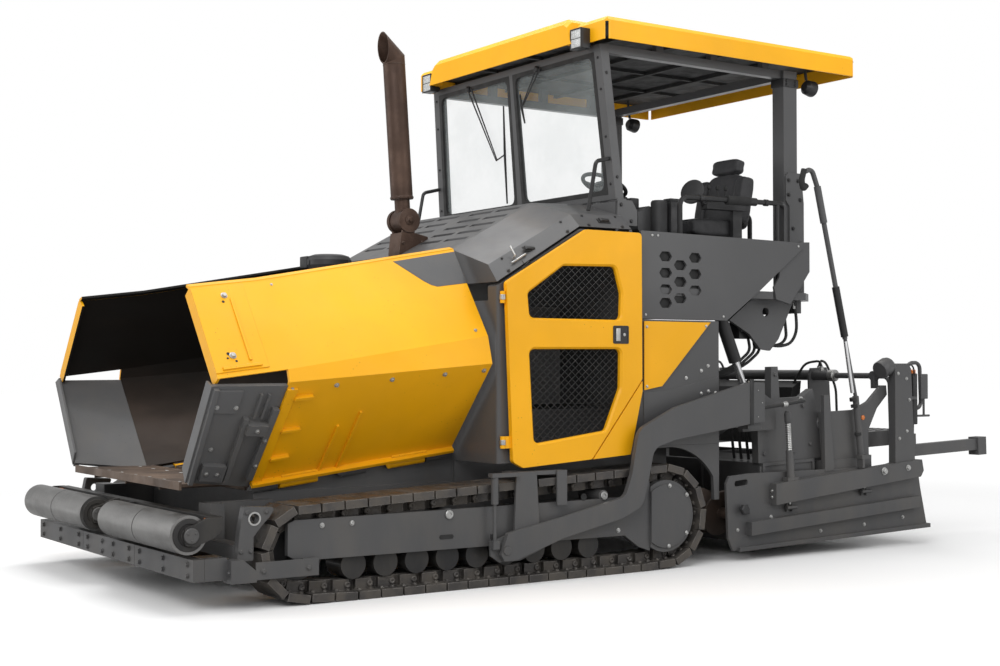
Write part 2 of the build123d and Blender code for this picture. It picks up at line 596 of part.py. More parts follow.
with BuildPart() as platform:
    # Deck, cut back at its rear corners.
    prism(level_plane(DECK_Z - 50),
          [(-SIDE_PANEL_X, DECK_FRONT + 1), (SIDE_PANEL_X, DECK_FRONT + 1), (SIDE_PANEL_X, 980),
           (1169, 980),
           (1169, 1300), (1060, DECK_REAR), (-1060, DECK_REAR), (-1169, 1300), (-1169, 980),
           (-SIDE_PANEL_X, 980)], 50)
    block(-1169, 1169, DECK_FRONT + 1, DECK_FRONT + 25, DECK_Z, 2100)
    block(-1034, 1034, DECK_FRONT + 1, DECK_FRONT + 25, 2100, 2290)
    block(-1000, 1000, DECK_REAR - 70, DECK_REAR - 10, DECK_Z - 130, DECK_Z - 50)
    for side in (1, -1):
        # Slanted brace under the overhang, with its eye, and the pump that it carries.
        x0 = 1040 if side > 0 else -1064
        prism(side_plane(x0), [(700, 1560), (880, 1470), (980, 1370), (1070, 1360), (1150, 1440),
                               (1290, DECK_Z - 50), (900, DECK_Z - 50)], 24)
        rod((side * 1030, 1030, 1620), (side * 1070, 1030, 1620), 30, mode=Mode.SUBTRACT)
        rod((side * 940, 1110, 1490), (side * 1040, 1110, 1490), 62)
        rod((side * 900, 1110, 1490), (side * 940, 1110, 1490), 40)
        block(side * 985, side * 1040, 1000, 1066, 1372, 1440)
        # Ears that the screed lift cylinder hangs from.
        for ear in LIFT_EARS:
            x0 = LIFT_X + ear if side > 0 else -LIFT_X - ear - EAR_THICK
            prism(side_plane(x0),
                  [(500, DECK_Z - 50), (580, DECK_Z - 50), (575, 1620), (540, 1600), (505, 1620)],
                  EAR_THICK)
keep(platform.part, "platform")

# Front frame, drawn on the leaning plane of its front faces: x to the side, y up the frame.
SCREEN_LEAN, SCREEN_HIGH = 5, 983
SCREEN_PLANE = Plane(origin=(0, -236, COWL_TOP), x_dir=(1, 0, 0),
                     z_dir=(0, -cos(radians(SCREEN_LEAN)), -sin(radians(SCREEN_LEAN))))
SILL, HEADER = 38, 938
# Half width inside the posts, and half width of the middle post, at the foot and at the top.
POST_INNER, MIDDLE_HALF = (970, 920), (32, 20)
POST_WIDE, POST_DEEP = 70, 65
REAR_POST = (904, 1010, 1260, 1386)


def screen_point(halves, height, side=1):
    """A point of the front frame on a line that runs evenly from its foot to its top."""
    low, high = halves
    return (side * (low + (high - low) * height / SCREEN_HIGH), height)


with BuildPart() as canopy_posts:
    post_outer = tuple(half + POST_WIDE for half in POST_INNER)
    for side in (1, -1):
        prism(SCREEN_PLANE,
              [screen_point(POST_INNER, 0, side), screen_point(post_outer, 0, side),
               screen_point(post_outer, SCREEN_HIGH, side), screen_point(POST_INNER, SCREEN_HIGH, side)],
               -POST_DEEP)
        # Foot on the cowl, with its side bracket.
        prism(side_plane(1036 if side > 0 else -1050),
              [(-234, 2140), (-70, 2140), (-70, 2236), (-112, 2300), (-226, 2300)], 14)
        block(side * 960, side * 1050, -230, -160, 2292, COWL_TOP + 6)
        x0, x1, y0, y1 = REAR_POST
        block(side * x0, side * x1, y0, y1, DECK_Z, CANOPY_LOW - 1)
        # Two bolted plates on the outside of the post, the upper one with a cut corner.
        prism(side_plane(x1 if side > 0 else -x1 - 14),
              [(y0 + 6, 2390), (y0 + 6, 2560), (y0 + 30, 2583), (y1 + 27, 2583), (y1 + 50, 2378),
               (y1 + 50, DECK_Z + 1), (y0 + 40, DECK_Z + 1), (y0 + 40, 2350)], 14)
        # Side rail under the roof, and the feet that the roof stands on.
        block(side * 930, side * 985, -270, y1, 3232, CANOPY_LOW - 1)
        for y in (150, 620, 1090):
            block(side * 935, side * 980, y, y + 60, CANOPY_LOW - 2, CANOPY_EDGE - 42.5)
    # Sill, header and middle post of the windscreen frame.
    for low, high in ((0, SILL), (HEADER, SCREEN_HIGH)):
        prism(SCREEN_PLANE, [screen_point(POST_INNER, low, -1), screen_point(POST_INNER, low),
                             screen_point(POST_INNER, high), screen_point(POST_INNER, high, -1)], -40)
    prism(SCREEN_PLANE, [screen_point(MIDDLE_HALF, 0, -1), screen_point(MIDDLE_HALF, 0),
                         screen_point(MIDDLE_HALF, SCREEN_HIGH),
                         screen_point(MIDDLE_HALF, SCREEN_HIGH, -1)], -40)
    block(-904, 904, 1290, 1350, 3232, CANOPY_LOW - 1)
keep(canopy_posts.part, "canopy_posts")

with BuildPart() as windscreen:
    for side in (1, -1):
        prism(SCREEN_PLANE.offset(-16),
              [screen_point(MIDDLE_HALF, SILL, side), screen_point(POST_INNER, SILL, side),
               screen_point(POST_INNER, HEADER, side), screen_point(MIDDLE_HALF, HEADER, side)], -8)
keep(windscreen.part, "windscreen")

ROOF_SHEET = 8
CROWN_FRONT, CROWN_REAR = -445, CANOPY_REAR - 6


def crown_section(top):
    """The raised middle of the roof, with its sloping flanks."""
    return [(-850, CANOPY_LOW), (850, CANOPY_LOW), (806, top - 24), (776, top), (-776, top),
            (-806, top - 24)]


with BuildPart() as canopy_roof:
    # Pressed shell, open below, whose crown reaches forward as a bevelled brow between the lamps.
    block(-CANOPY_HALF, CANOPY_HALF, CANOPY_FRONT, CANOPY_REAR, CANOPY_LOW, CANOPY_EDGE)
    chamfer(canopy_roof.edges().group_by(Axis.Z)[-1], 28)
    chamfer(canopy_roof.edges().filter_by(Axis.Z), 30)
    skin([(CROWN_FRONT, crown_section(CANOPY_TOP - 40)), (CROWN_FRONT + 40, crown_section(CANOPY_TOP)),
          (CROWN_REAR - 40, crown_section(CANOPY_TOP)), (CROWN_REAR, crown_section(CANOPY_TOP - 40))])
    block(-CANOPY_HALF + ROOF_SHEET, CANOPY_HALF - ROOF_SHEET, CANOPY_FRONT + ROOF_SHEET,
          CANOPY_REAR - ROOF_SHEET,
          CANOPY_LOW, CANOPY_EDGE - 34, mode=Mode.SUBTRACT)
    block(-796, 796, CROWN_FRONT + ROOF_SHEET, CANOPY_FRONT + ROOF_SHEET + 1, CANOPY_LOW, CANOPY_EDGE - 34,
          mode=Mode.SUBTRACT)
keep(canopy_roof.part, "canopy_roof")

with BuildPart() as canopy_ceiling:
    # Panelled ceiling hung inside the shell.
    block(-CANOPY_HALF + 12, CANOPY_HALF - 12, CANOPY_FRONT + 12, CANOPY_REAR - 12, CANOPY_EDGE - 42,
          CANOPY_EDGE - 35)
    for y in (-60, 400, 860, 1320):
        block(-CANOPY_HALF + 12, CANOPY_HALF - 12, y, y + 30, CANOPY_EDGE - 66, CANOPY_EDGE - 42)
    for x in (-560, -15, 530):
        block(x, x + 30, CANOPY_FRONT + 12, CANOPY_REAR - 12, CANOPY_EDGE - 60, CANOPY_EDGE - 42)
keep(canopy_ceiling.part, "canopy_ceiling")

CONSOLE_LINE = [(120, DECK_Z), (330, DECK_Z), (330, 2180), (300, 2250), (150, 2296), (60, 2250), (60, 2140),
                (120, 2060)]
WHEEL_AT, WHEEL_TILT = (600, 20, 2450), 25
wheel_axis = Vector(0, sin(radians(WHEEL_TILT)), cos(radians(WHEEL_TILT)))
with BuildPart() as console:
    for x0 in (-900, 400):
        prism(side_plane(x0), CONSOLE_LINE, 500, radius=14)
    block(-400, 400, 180, 300, DECK_Z, 2080)
    # Steering column.
    rod(Vector(*WHEEL_AT) - 200 * wheel_axis, Vector(*WHEEL_AT) - 18 * wheel_axis, 24)
keep(console.part, "console")

wheel_plane = Plane(origin=WHEEL_AT, z_dir=wheel_axis)
RIM_R = 150
with BuildPart() as steering_wheel:
    with BuildSketch(Plane(origin=WHEEL_AT, x_dir=(1, 0, 0),
                           z_dir=(0, wheel_axis.Z, -wheel_axis.Y))) as rim:
        with Locations((RIM_R, 0)):
            RegularPolygon(14, 6)
    revolve(rim.sketch, Axis(WHEEL_AT, wheel_axis))
    with Locations(wheel_plane):
        Cylinder(30, 30)
    with BuildSketch(wheel_plane) as spokes:
        Rectangle(2 * RIM_R, 30)
    extrude(amount=5, both=True)
keep(steering_wheel.part, "steering_wheel")

# A seat from its side: cushion, leaning back and headrest, all as (y, z).
SEAT_WIDE = 470
CUSHION = [(510, 2120), (960, 2120), (960, 2216), (580, 2246), (520, 2226)]
BACKREST = [(950, 2225), (1040, 2215), (1110, 2560), (1080, 2590), (1000, 2590)]
HEADREST = [(1010, 2592), (1085, 2592), (1102, 2680), (1030, 2690)]
with BuildPart() as seats:
    for side in (1, -1):
        for outline, wide in ((CUSHION, SEAT_WIDE), (BACKREST, SEAT_WIDE), (HEADREST, 270)):
            prism(side_plane(side * 680 - wide / 2), outline, wide, radius=18)
keep(seats.part, "seats")

BELLOWS = [(-120, DECK_Z), (-104, DECK_Z + 78), (-126, DECK_Z + 104), (-104, DECK_Z + 130),
           (-126, DECK_Z + 156),
           (-104, DECK_Z + 182), (-126, DECK_Z + 208), (-110, 2060), (110, 2060), (126, DECK_Z + 208),
           (104, DECK_Z + 182), (126, DECK_Z + 156), (104, DECK_Z + 130), (126, DECK_Z + 104),
           (104, DECK_Z + 78),
           (120, DECK_Z)]
with BuildPart() as seat_bases:
    for side in (1, -1):
        block(side * 500, side * 860, 560, 940, 2060, 2118)
        # Bellows of the sprung foot, as a stack of tapered rings.
        skin([(y, [(side * 680 + x, z) for x, z in BELLOWS]) for y in (620, 880)])
        # Armrest with its control pod, outside the cushion.
        prism(side_plane(side * 955 - 30), [(580, 2296), (940, 2300), (940, 2350), (660, 2352),
                                            (580, 2330)], 60)
        block(side * 925, side * 955, 840, 920, 2080, 2300)
        block(side * 860, side * 955, 840, 920, 2070, 2100)
keep(seat_bases.part, "seat_bases")

RAIL_R, RAIL_X, RAIL_Z = 17, 1105, 2342
with BuildPart() as handrails:
    for side in (1, -1):
        x = side * RAIL_X
        # Rear side rail, bent inwards at its rear end to the post.
        rail([(x, 237, DECK_Z), (x, 237, RAIL_Z), (x, 1150, RAIL_Z + 10), (side * 1000, 1244, RAIL_Z + 10)],
             RAIL_R, 60)
        rod((x, 1100, DECK_Z), (x, 1100, RAIL_Z), RAIL_R - 3)
        # Foam grip.
        rod((x, 700, RAIL_Z + 4), (x, 900, RAIL_Z + 6), RAIL_R + 10)
        # Grab handle beside the windscreen.
        rail([(side * 1005, -263, 2560), (side * 1030, -385, 2530), (side * 1030, -446, 2218)], 13, 40)
    rail([(-560, 1370, DECK_Z), (-560, 1370, RAIL_Z), (560, 1370, RAIL_Z), (560, 1370, DECK_Z)], RAIL_R, 60)
keep(handrails.part, "handrails")

# --- exhaust ------------------------------------------------------------------------

with BuildPart() as exhaust_base:
    # Foot that follows the hood's slope, up to two clamp discs.
    prism(side_plane(-70), [(STACK_Y - 70, hood_crest(STACK_Y - 70)),
                            (STACK_Y + 145, hood_crest(STACK_Y + 145)),
                            (STACK_Y + 145, 2096), (STACK_Y + 55, 2116), (STACK_Y - 55, 2116),
                            (STACK_Y - 70, 1990)], 140)
    for side in (1, -1):
        rod((side * 52, STACK_Y, STACK_PIN_Z), (side * 80, STACK_Y, STACK_PIN_Z), 78)
        block(side * 52, side * 70, STACK_Y - 45, STACK_Y + 45, 2110, STACK_PIN_Z)
keep(exhaust_base.part, "exhaust_base")



def stack_pipe(foot, radius, mode=Mode.ADD):
    """Upright pipe with its mitred elbow."""
    with BuildLine(mode=Mode.PRIVATE) as path:
        Polyline((0, STACK_Y, foot), (0, STACK_Y, STACK_KNEE), (0, STACK_Y - 220, STACK_KNEE + 220))
    with BuildSketch(level_plane(foot), mode=Mode.PRIVATE) as section:
        with Locations((0, STACK_Y)):
            Circle(radius)
    sweep(section.sketch, path=path.line, transition=Transition.RIGHT, mode=mode)


with BuildPart() as exhaust_stack:
    stack_pipe(STACK_PIN_Z + 140, STACK_R)
    stack_pipe(STACK_PIN_Z + 260, STACK_R - STACK_SHEET, mode=Mode.SUBTRACT)
    # The elbow ends in an upright mouth.
    block(-100, 100, STACK_Y - 400, STACK_Y - STACK_R - 2, STACK_KNEE - 100, STACK_KNEE + 400,
          mode=Mode.SUBTRACT)
    rod((-46, STACK_Y, STACK_PIN_Z), (46, STACK_Y, STACK_PIN_Z), 72)
    rod((0, STACK_Y, STACK_PIN_Z), (0, STACK_Y, STACK_PIN_Z + 160), STACK_NECK)
keep(exhaust_stack.part.rotate(Axis((0, STACK_Y, STACK_PIN_Z), (1, 0, 0)), STACK_LEAN), "exhaust_stack")

# Pre-cleaner bowl on its intake pipe, at the far front corner of the hood; (radius, z).
CLEANER_AT = (-500, -1445)
CLEANER_LINE = [(0, 1780), (62, 1780), (62, 1880), (110, 1886), (140, 1900), (152, 1925), (152, 1958),
                (136, 1984),
                (100, 1996), (0, 2000)]
with BuildPart() as air_cleaner:
    x, y = CLEANER_AT
    with BuildSketch(Plane(origin=(x, y, 0), x_dir=(1, 0, 0), z_dir=(0, -1, 0))):
        with BuildLine():
            Polyline(*CLEANER_LINE, close=True)
        make_face()
    revolve(axis=Axis((x, y, 0), (0, 0, 1)))
    block(x - 40, x + 40, y, BODY_FRONT - 1, 1790, 1840)
keep(air_cleaner.part, "air_cleaner")

# --- tow points and arms ------------------------------------------------------------

# The arm's outline in order, each corner as (y, z, knee radius).
ARM_CORNERS = (
    (-1301, 181, 8), (-1253, 303, 20), (-862, 372, 60), (-395, 470, 70), (-345, 600, 60), (-290, 870, 110),
    (0, 1000, 80), (616, 1150, 30), (760, 1150, 12), (760, 895, 12), (676, 890, 12), (-1, 800, 80),
    (-170, 755, 90), (-215, 560, 60), (-262, 405, 100), (-420, 340, 60), (-862, 250, 60), (-1197, 145, 20),
    (-1280, 145, 12),
)
with BuildPart() as tow_arm:
    with BuildSketch(side_plane(ARM_IN)) as arm_face:
        with BuildLine():
            FilletPolyline(*[(y, z) for y, z, _ in ARM_CORNERS], radius=[knee for *_, knee in ARM_CORNERS],
                           close=True)
        make_face()
    extrude(amount=ARM_OUT - ARM_IN)
    rod((ARM_IN - 5, TOW_Y, TOW_Z), (ARM_OUT + 5, TOW_Y, TOW_Z), 25.6, mode=Mode.SUBTRACT)
    # Upright rear end that the screed's side bracket bolts to.
    block(ARM_IN - 90, ARM_IN, 640, 760, 850, 1150)
keep_pair(tow_arm.part, "tow_arm")

POST_FOOT, POST_TOP = 137, 645
with BuildPart() as tow_points:
    for side in (1, -1):
        rod((side * 1279, TOW_Y, TOW_Z), (side * 1336, TOW_Y, TOW_Z), 25)
        # Guide plate for the arm, with the post behind it.
        prism(side_plane(1279 if side > 0 else -1295),
              [(TOW_Y - 90, POST_FOOT + 40), (TOW_Y - 30, POST_FOOT), (-1150, POST_FOOT), (-1000, 190),
               (-1030, POST_TOP), (-1170, POST_TOP), (-1186, 300), (TOW_Y - 90, 260)], 16)
        block(side * 1279, side * 1291, -878, -806, 440, POST_TOP)
        block(side * 1140, side * 1279, -1170, -806, POST_TOP - 23, POST_TOP)
        # Levelling cylinder in front of the post: bracket, barrel, rod and eye.
        block(side * 1279, side * 1324, TOW_Y - 96, -1170, POST_TOP - 23, POST_TOP)
        rod((side * 1301, TOW_Y - 66, 470), (side * 1301, TOW_Y - 66, POST_TOP - 23), 22)
        rod((side * 1301, TOW_Y - 66, 262), (side * 1301, TOW_Y - 66, 470), 11)
        block(side * 1295, side * 1322, TOW_Y - 88, TOW_Y - 44, 215, 262)
keep(tow_points.part, "tow_points")

# --- screed -------------------------------------------------------------------------

MAIN_Y, MAIN_TOP = (880, 1400), 520
EXT_Y = (1420, 1900)
GUIDE_TUBES = {"left": (1480, 770), "right": (1640, 770)}
GUIDE_OUTER, GUIDE_INNER = 50, 36

with BuildPart() as screed_main:
    y0, y1 = MAIN_Y
    block(-SCREED_HALF, SCREED_HALF, y0, y1, 5, 40)
    block(-SCREED_HALF, SCREED_HALF, y0 + 20, y0 + 40, 40, MAIN_TOP)
    block(-SCREED_HALF, SCREED_HALF, y1 - 40, y1 - 20, 40, MAIN_TOP)
    block(-SCREED_HALF, SCREED_HALF, y0 + 20, y1 - 20, MAIN_TOP, MAIN_TOP + 20)
    # Strike-off plate with its folded foot, and the ribs of the crown joint.
    block(-SCREED_HALF, SCREED_HALF, y0 - 12, y0, 5, 330)
    for x in (-1170, -600, -40, 20, 580, 1150):
        block(x, x + 20, y0, y0 + 20, 40, MAIN_TOP)
        block(x, x + 20, y0 + 40, y1 - 40, 40, MAIN_TOP)
    for side in (1, -1):
        # Side frame up to the arm, and the plate behind the arm's end.
        x0 = 1100 if side > 0 else -1160
        prism(side_plane(x0), [(880, 540), (1700, 540), (1780, 640), (1780, 820), (1440, 860), (1400, 1010),
                               (1300, 960), (1090, 960), (1080, 1172), (1020, 1172), (1010, 960),
                               (880, 940)], 60)
        block(side * 1160, side * (ARM_IN - 90), 905, 1000, 760, 940)
        # Plate on the arm's end, which also takes the lift cylinder's rod eye.
        prism(side_plane(1168 if side > 0 else -ARM_IN + 90),
              [(700, 760), (1000, 760), (1000, 940), (880, 1010), (830, 1030), (790, 1000), (700, 900)],
              ARM_IN - 90 - 1168)
        for name, (y, z) in GUIDE_TUBES.items():
            x_out = side * 1150
            rod((x_out, y, z), (side * 15, y, z), GUIDE_OUTER)
    for x0 in (-15, 1040, -1100):
        prism(side_plane(x0), [(y1 - 100, MAIN_TOP + 20), (y1 - 20, MAIN_TOP + 20), (1720, 700),
                               (1720, 840),
                               (1420, 840), (1300, 700)], 30 if x0 == -15 else 60)
    for name, (y, z) in GUIDE_TUBES.items():
        rod((-1165, y, z), (1165, y, z), GUIDE_INNER + 0.4, mode=Mode.SUBTRACT)
keep(raise_screed(screed_main.part), "screed_main")

# The cylinders that push the extensions out lie across the walkway, one behind the other: (y, z).
SHIFT_CYLINDERS = {"left": (2062, 1073), "right": (2157, 1073)}
SHIFT_BARREL, SHIFT_ROD, SHIFT_END, EYE_SHELF = 36, 20, 750, 1005

for name, side in SIDES.items():
    with BuildPart() as extension:
        y0, y1 = EXT_Y
        eye_y, eye_z = SHIFT_CYLINDERS[name]
        guide_y, guide_z = GUIDE_TUBES[name]
        block(side * 15, side * 1215, y0, y1, 5, 40)
        block(side * 15, side * 1215, y0 + 20, y0 + 40, 40, MAIN_TOP)
        block(side * 15, side * 1215, y1 - 20, y1, 40, MAIN_TOP)
        for x in (15, 400, 800, 1195):
            block(side * x, side * (x + 20), y0 + 40, y1 - 20, 40, MAIN_TOP)
        # Outer bracket with its arm up to the cylinder, and the tube that slides in the main screed's.
        prism(side_plane(1175 if side > 0 else -1203),
              [(y0 + 30, MAIN_TOP - 30), (y1 - 10, MAIN_TOP - 30), (y1 - 10, 700), (1985, 850),
               (eye_y + 30, 940),
               (eye_y + 24, EYE_SHELF), (eye_y - 24, EYE_SHELF), (1900, 900), (1760, 850), (1430, 850)], 28)
        rod((side * -240, guide_y, guide_z), (side * 1190, guide_y, guide_z), GUIDE_INNER)
        # Rod of the cylinder, with its eye on the arm.
        rod((side * -470, eye_y, eye_z), (side * 1100, eye_y, eye_z), SHIFT_ROD)
        rod((side * 1118, eye_y - 20, eye_z), (side * 1118, eye_y + 20, eye_z), 34)
        block(side * 1104, side * 1132, eye_y - 24, eye_y + 24, EYE_SHELF - 20, eye_z)
        block(side * 1104, side * 1203, eye_y - 24, eye_y + 24, EYE_SHELF - 20, EYE_SHELF)
    keep(raise_screed(extension.part), f"extension_{name}")

# End plate pieces outside the extension, drawn as they stand; (y, z).
END_PLATE_LINE = [(560, 68), (2430, 118), (2360, 400), (2330, 560), (2250, 620), (1950, 560), (700, 560),
                  (530, 548),
                  (503, 500), (520, 150)]
with BuildPart() as end_plate:
    prism(side_plane(1222), END_PLATE_LINE, 20, radius=14)
    # Hand slot at the front.
    prism(side_plane(1222), [(575, 478), (690, 486), (690, 524), (575, 516)], 20, radius=15,
          mode=Mode.SUBTRACT)
    # Runner along the foot, lower tube and upper box beam.
    prism(side_plane(1218), [(600, 62), (2440, 112), (2440, 140), (600, 90)], 48)
    prism(side_plane(1242), [(677, 163), (2300, 262), (2300, 342), (677, 250)], 50)
    prism(side_plane(1242), [(889, 350), (2300, 478), (2330, 520), (2312, 598), (2280, 598), (889, 488)],
          60)
    # Screw leg and post stand on the box beam.
    rod((1272, 1050, 500), (1272, 1020, 960), 17)
    block(1246, 1298, 1000, 1100, 490, 524)
    prism(side_plane(1218), [(1400, 545), (1490, 550), (1440, 1060), (1390, 1060)], 28)
    # Control post at the rear, with its rounded head.
    prism(side_plane(1222), [(2058, 560), (2261, 590), (2225, 1240), (2190, 1275), (2060, 1275)], 60,
          radius=12)
    rod((1225, 2000, 1235), (1225, 2060, 1262), 60)
keep_pair(end_plate.part, "end_plate")

# The walkway's rear end, drawn level so that it is at REAR_END once raised.
BEAM_FOOT = 440
BEAM_REACH = REAR_END - TOW_Y + (BEAM_FOOT - TOW_Z) * sin(radians(SCREED_TILT))
BEAM_END = TOW_Y + BEAM_REACH / cos(radians(SCREED_TILT))
with BuildPart() as walkway:
    block(-1000, 1000, 1960, 2480, 640, 668)
    for x in (-1000, -340, 320, 980):
        block(x, x + 20, 1960, 2480, 560, 640)
    block(-980, 980, 1960, 1980, 560, 640)
    block(-980, 980, 2462, 2480, 560, 640)
    for side in (1, -1):
        # Rear tube beam with its end block, and the hoop rail.
        block(side * 1060, side * 1120, 2440, BEAM_END - 90, 478, 560)
        block(side * 1045, side * 1135, BEAM_END - 92, BEAM_END, BEAM_FOOT, 572)
        block(side * 980, side * 1120, 2400, 2480, 478, 640)
        rail([(side * 1105, 2425, 640), (side * 1105, 2425, 1150), (side * 1105, 2560, 1150),
              (side * 1105, 2560, 830),
              (side * 1105, 2440, 800)], 14, 50)
        # Links forward to the main screed's side frames.
        block(side * 1062, side * 1100, 1700, 1980, 580, 640)
        block(side * 1000, side * 1100, 1960, 2000, 580, 640)
    rail([(-900, 2470, 668), (-900, 2470, 1050), (900, 2470, 1050), (900, 2470, 668)], 16, 60)
    # Two uprights carry the barrels of the cylinders that push the extensions out.
    for x in (-545, 530):
        prism(side_plane(x), [(2000, 640), (2230, 640), (2215, 1080), (2190, 1128), (2030, 1128),
                              (2005, 1080)], 15)
    for name, side in SIDES.items():
        eye_y, eye_z = SHIFT_CYLINDERS[name]
        rod((side * -560, eye_y, eye_z), (side * SHIFT_END, eye_y, eye_z), SHIFT_BARREL)
    for name, side in SIDES.items():
        eye_y, eye_z = SHIFT_CYLINDERS[name]
        rod((side * -500, eye_y, eye_z), (side * (SHIFT_END + 5), eye_y, eye_z), SHIFT_ROD + 0.4,
            mode=Mode.SUBTRACT)
keep(raise_screed(walkway.part), "walkway")

# Mast on the end plate's box beam: bent top, two sleeves and the thin tube between.
MAST_X = 1244
with BuildPart() as mast:
    rail([(MAST_X, 1200, 2550), (MAST_X, 1284, 2586), (MAST_X, 1340, 2460), (MAST_X, 1600, 1442)], 17, 40)
    rod((MAST_X, 1338, 2468), (MAST_X, 1400, 2225), 24)
    rod((MAST_X, 1588, 1489), (MAST_X, 1718, 980), 13)
    rod((MAST_X, 1700, 1050), (MAST_X, 1752, 640), 22)
    block(MAST_X, MAST_X + 50, 1710, 1800, 620, 648)
    block(MAST_X, MAST_X + 50, 1715, 1735, 560, 620)
keep_pair(mast.part, "mast")

# --- augers -------------------------------------------------------------------------

AUGER_Y, AUGER_Z, AUGER_R = 604, 300, 152
with BuildPart() as auger_carrier:
    block(-60, 60, CHASSIS_REAR + 1, 640, 230, 520)
    for side in (1, -1):
        block(side * 60, side * 720, CHASSIS_REAR + 1, CHASSIS_REAR + 30, 480, 556)
keep(auger_carrier.part, "auger_carrier")

FLIGHT_PITCH, FLIGHT_THICK, FLIGHT_LEAN = 180, 14, 14
for name, side in SIDES.items():
    with BuildPart() as auger:
        rod((side * 62, AUGER_Y, AUGER_Z), (side * 1190, AUGER_Y, AUGER_Z), 35)
        # Half-round flights, bolted on by turns to either side of the shaft.
        for step in range(6):
            x = side * (170 + step * FLIGHT_PITCH)
            lean = FLIGHT_LEAN if step % 2 else -FLIGHT_LEAN
            lean_plane = Plane(Location((x, AUGER_Y, AUGER_Z), (0, 90 + lean, 0)))
            with BuildSketch(lean_plane, mode=Mode.PRIVATE) as flight:
                RegularPolygon(AUGER_R, 20)
            extrude(flight.sketch, FLIGHT_THICK)
    keep(auger.part, f"auger_{name}")

# --- screed lift cylinders ----------------------------------------------------------

LIFT_TOP, LIFT_EYE = (540, 1640), (800, 1060)
BARREL_R, ROD_R, BARREL_LONG = 42, 25, 385
LIFT_LONG = Vector(*LIFT_EYE).sub(Vector(*LIFT_TOP)).length


def lift_point(x, distance):
    """A point down the screed lift cylinder from its upper pin."""
    return (x, *between(LIFT_TOP, LIFT_EYE, distance / LIFT_LONG))


with BuildPart() as lift_barrels:
    for x in (LIFT_X, -LIFT_X):
        rod(lift_point(x, 20), lift_point(x, BARREL_LONG), BARREL_R)
        rod(lift_point(x, 60), lift_point(x, BARREL_LONG + 5), ROD_R + 0.2, mode=Mode.SUBTRACT)
        rod((x - 30, *LIFT_TOP), (x + 30, *LIFT_TOP), 34)
        rod((x - 47.5, *LIFT_TOP), (x + 47.5, *LIFT_TOP), 18)
keep(lift_barrels.part, "lift_barrels")

with BuildPart() as lift_rods:
    for x in (LIFT_X, -LIFT_X):
        rod(lift_point(x, LIFT_LONG - 325), lift_point(x, LIFT_LONG), ROD_R)
        rod((x - 26, *LIFT_EYE), (x + 26, *LIFT_EYE), 32)
        pin_end = x + 44 if x > 0 else x - 44
        rod((x, *LIFT_EYE), (pin_end, *LIFT_EYE), 16)
keep(lift_rods.part, "lift_rods")
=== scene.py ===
"""Looks for a tracked asphalt paver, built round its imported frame.

Lengths are in metres.  +Z is up, -Y is the hopper end and +X the machine's left side.
"""
import math

import bmesh
import bpy
from mathutils import Matrix, Vector


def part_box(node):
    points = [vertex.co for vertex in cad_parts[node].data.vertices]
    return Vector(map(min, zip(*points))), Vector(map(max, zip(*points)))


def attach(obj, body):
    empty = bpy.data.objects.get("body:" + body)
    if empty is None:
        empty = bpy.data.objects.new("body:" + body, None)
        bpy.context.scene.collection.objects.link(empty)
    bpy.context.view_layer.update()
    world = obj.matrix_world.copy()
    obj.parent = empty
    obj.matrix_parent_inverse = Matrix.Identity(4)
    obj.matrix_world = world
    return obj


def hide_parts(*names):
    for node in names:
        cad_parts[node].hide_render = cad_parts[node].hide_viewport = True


bl_info = {
    "name": "Tracked asphalt paver",
    "version": (1, 0, 0),
    "blender": (4, 5, 0),
    "location": "View3D > Sidebar > Paver",
    "description": "Finishes and small fittings for a tracked asphalt paver",
    "category": "Add Mesh",
}

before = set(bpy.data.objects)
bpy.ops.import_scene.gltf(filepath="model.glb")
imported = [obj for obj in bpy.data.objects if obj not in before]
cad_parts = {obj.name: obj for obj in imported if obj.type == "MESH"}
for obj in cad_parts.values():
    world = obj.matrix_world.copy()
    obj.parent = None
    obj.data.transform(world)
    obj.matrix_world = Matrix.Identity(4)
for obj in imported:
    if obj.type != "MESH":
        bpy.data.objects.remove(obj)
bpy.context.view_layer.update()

SIDES = (("left", 1), ("right", -1))
BOTH = (1, -1)
UP, REARWARD, FORWARD, OUTWARD = (0, 0, 1), (0, 1, 0), (0, -1, 0), (1, 0, 0)


# --- shader nodes ---


class Wire:
    """A node's output, with Python's arithmetic on values."""

    def __init__(self, nodes, socket):
        self.nodes = nodes
        self.socket = socket

    def maths(self, operation, first, second):
        return self.nodes.node("ShaderNodeMath", {"operation": operation}, {0: first, 1: second})

    def __add__(self, other):
        return self.maths("ADD", self, other)

    def __radd__(self, other):
        return self.maths("ADD", other, self)

    def __sub__(self, other):
        return self.maths("SUBTRACT", self, other)

    def __rsub__(self, other):
        return self.maths("SUBTRACT", other, self)

    def __mul__(self, other):
        return self.maths("MULTIPLY", self, other)

    def __rmul__(self, other):
        return self.maths("MULTIPLY", other, self)

    def span(self, low, high, to_low=0.0, to_high=1.0):
        """This value stretched so that low..high becomes to_low..to_high, and held there."""
        sockets = {"Value": self, "From Min": low, "From Max": high, "To Min": to_low, "To Max": to_high}
        return self.nodes.node("ShaderNodeMapRange", {"interpolation_type": "SMOOTHSTEP"}, sockets)


class Nodes:
    """An emptied node tree and the one way to add a node to it."""

    def __init__(self, owner):
        owner.use_nodes = True
        self.tree = owner.node_tree
        self.tree.nodes.clear()

    def node(self, kind, settings=None, sockets=None, output=0):
        """Adds a node of a kind, with its settings first and then its sockets' values or links."""
        made = self.tree.nodes.new(kind)
        for key, value in (settings or {}).items():
            setattr(made, key, value)
        for key, value in (sockets or {}).items():
            if isinstance(value, Wire):
                self.tree.links.new(value.socket, made.inputs[key])
            else:
                made.inputs[key].default_value = value
        return Wire(self, made.outputs[output]) if made.outputs else None


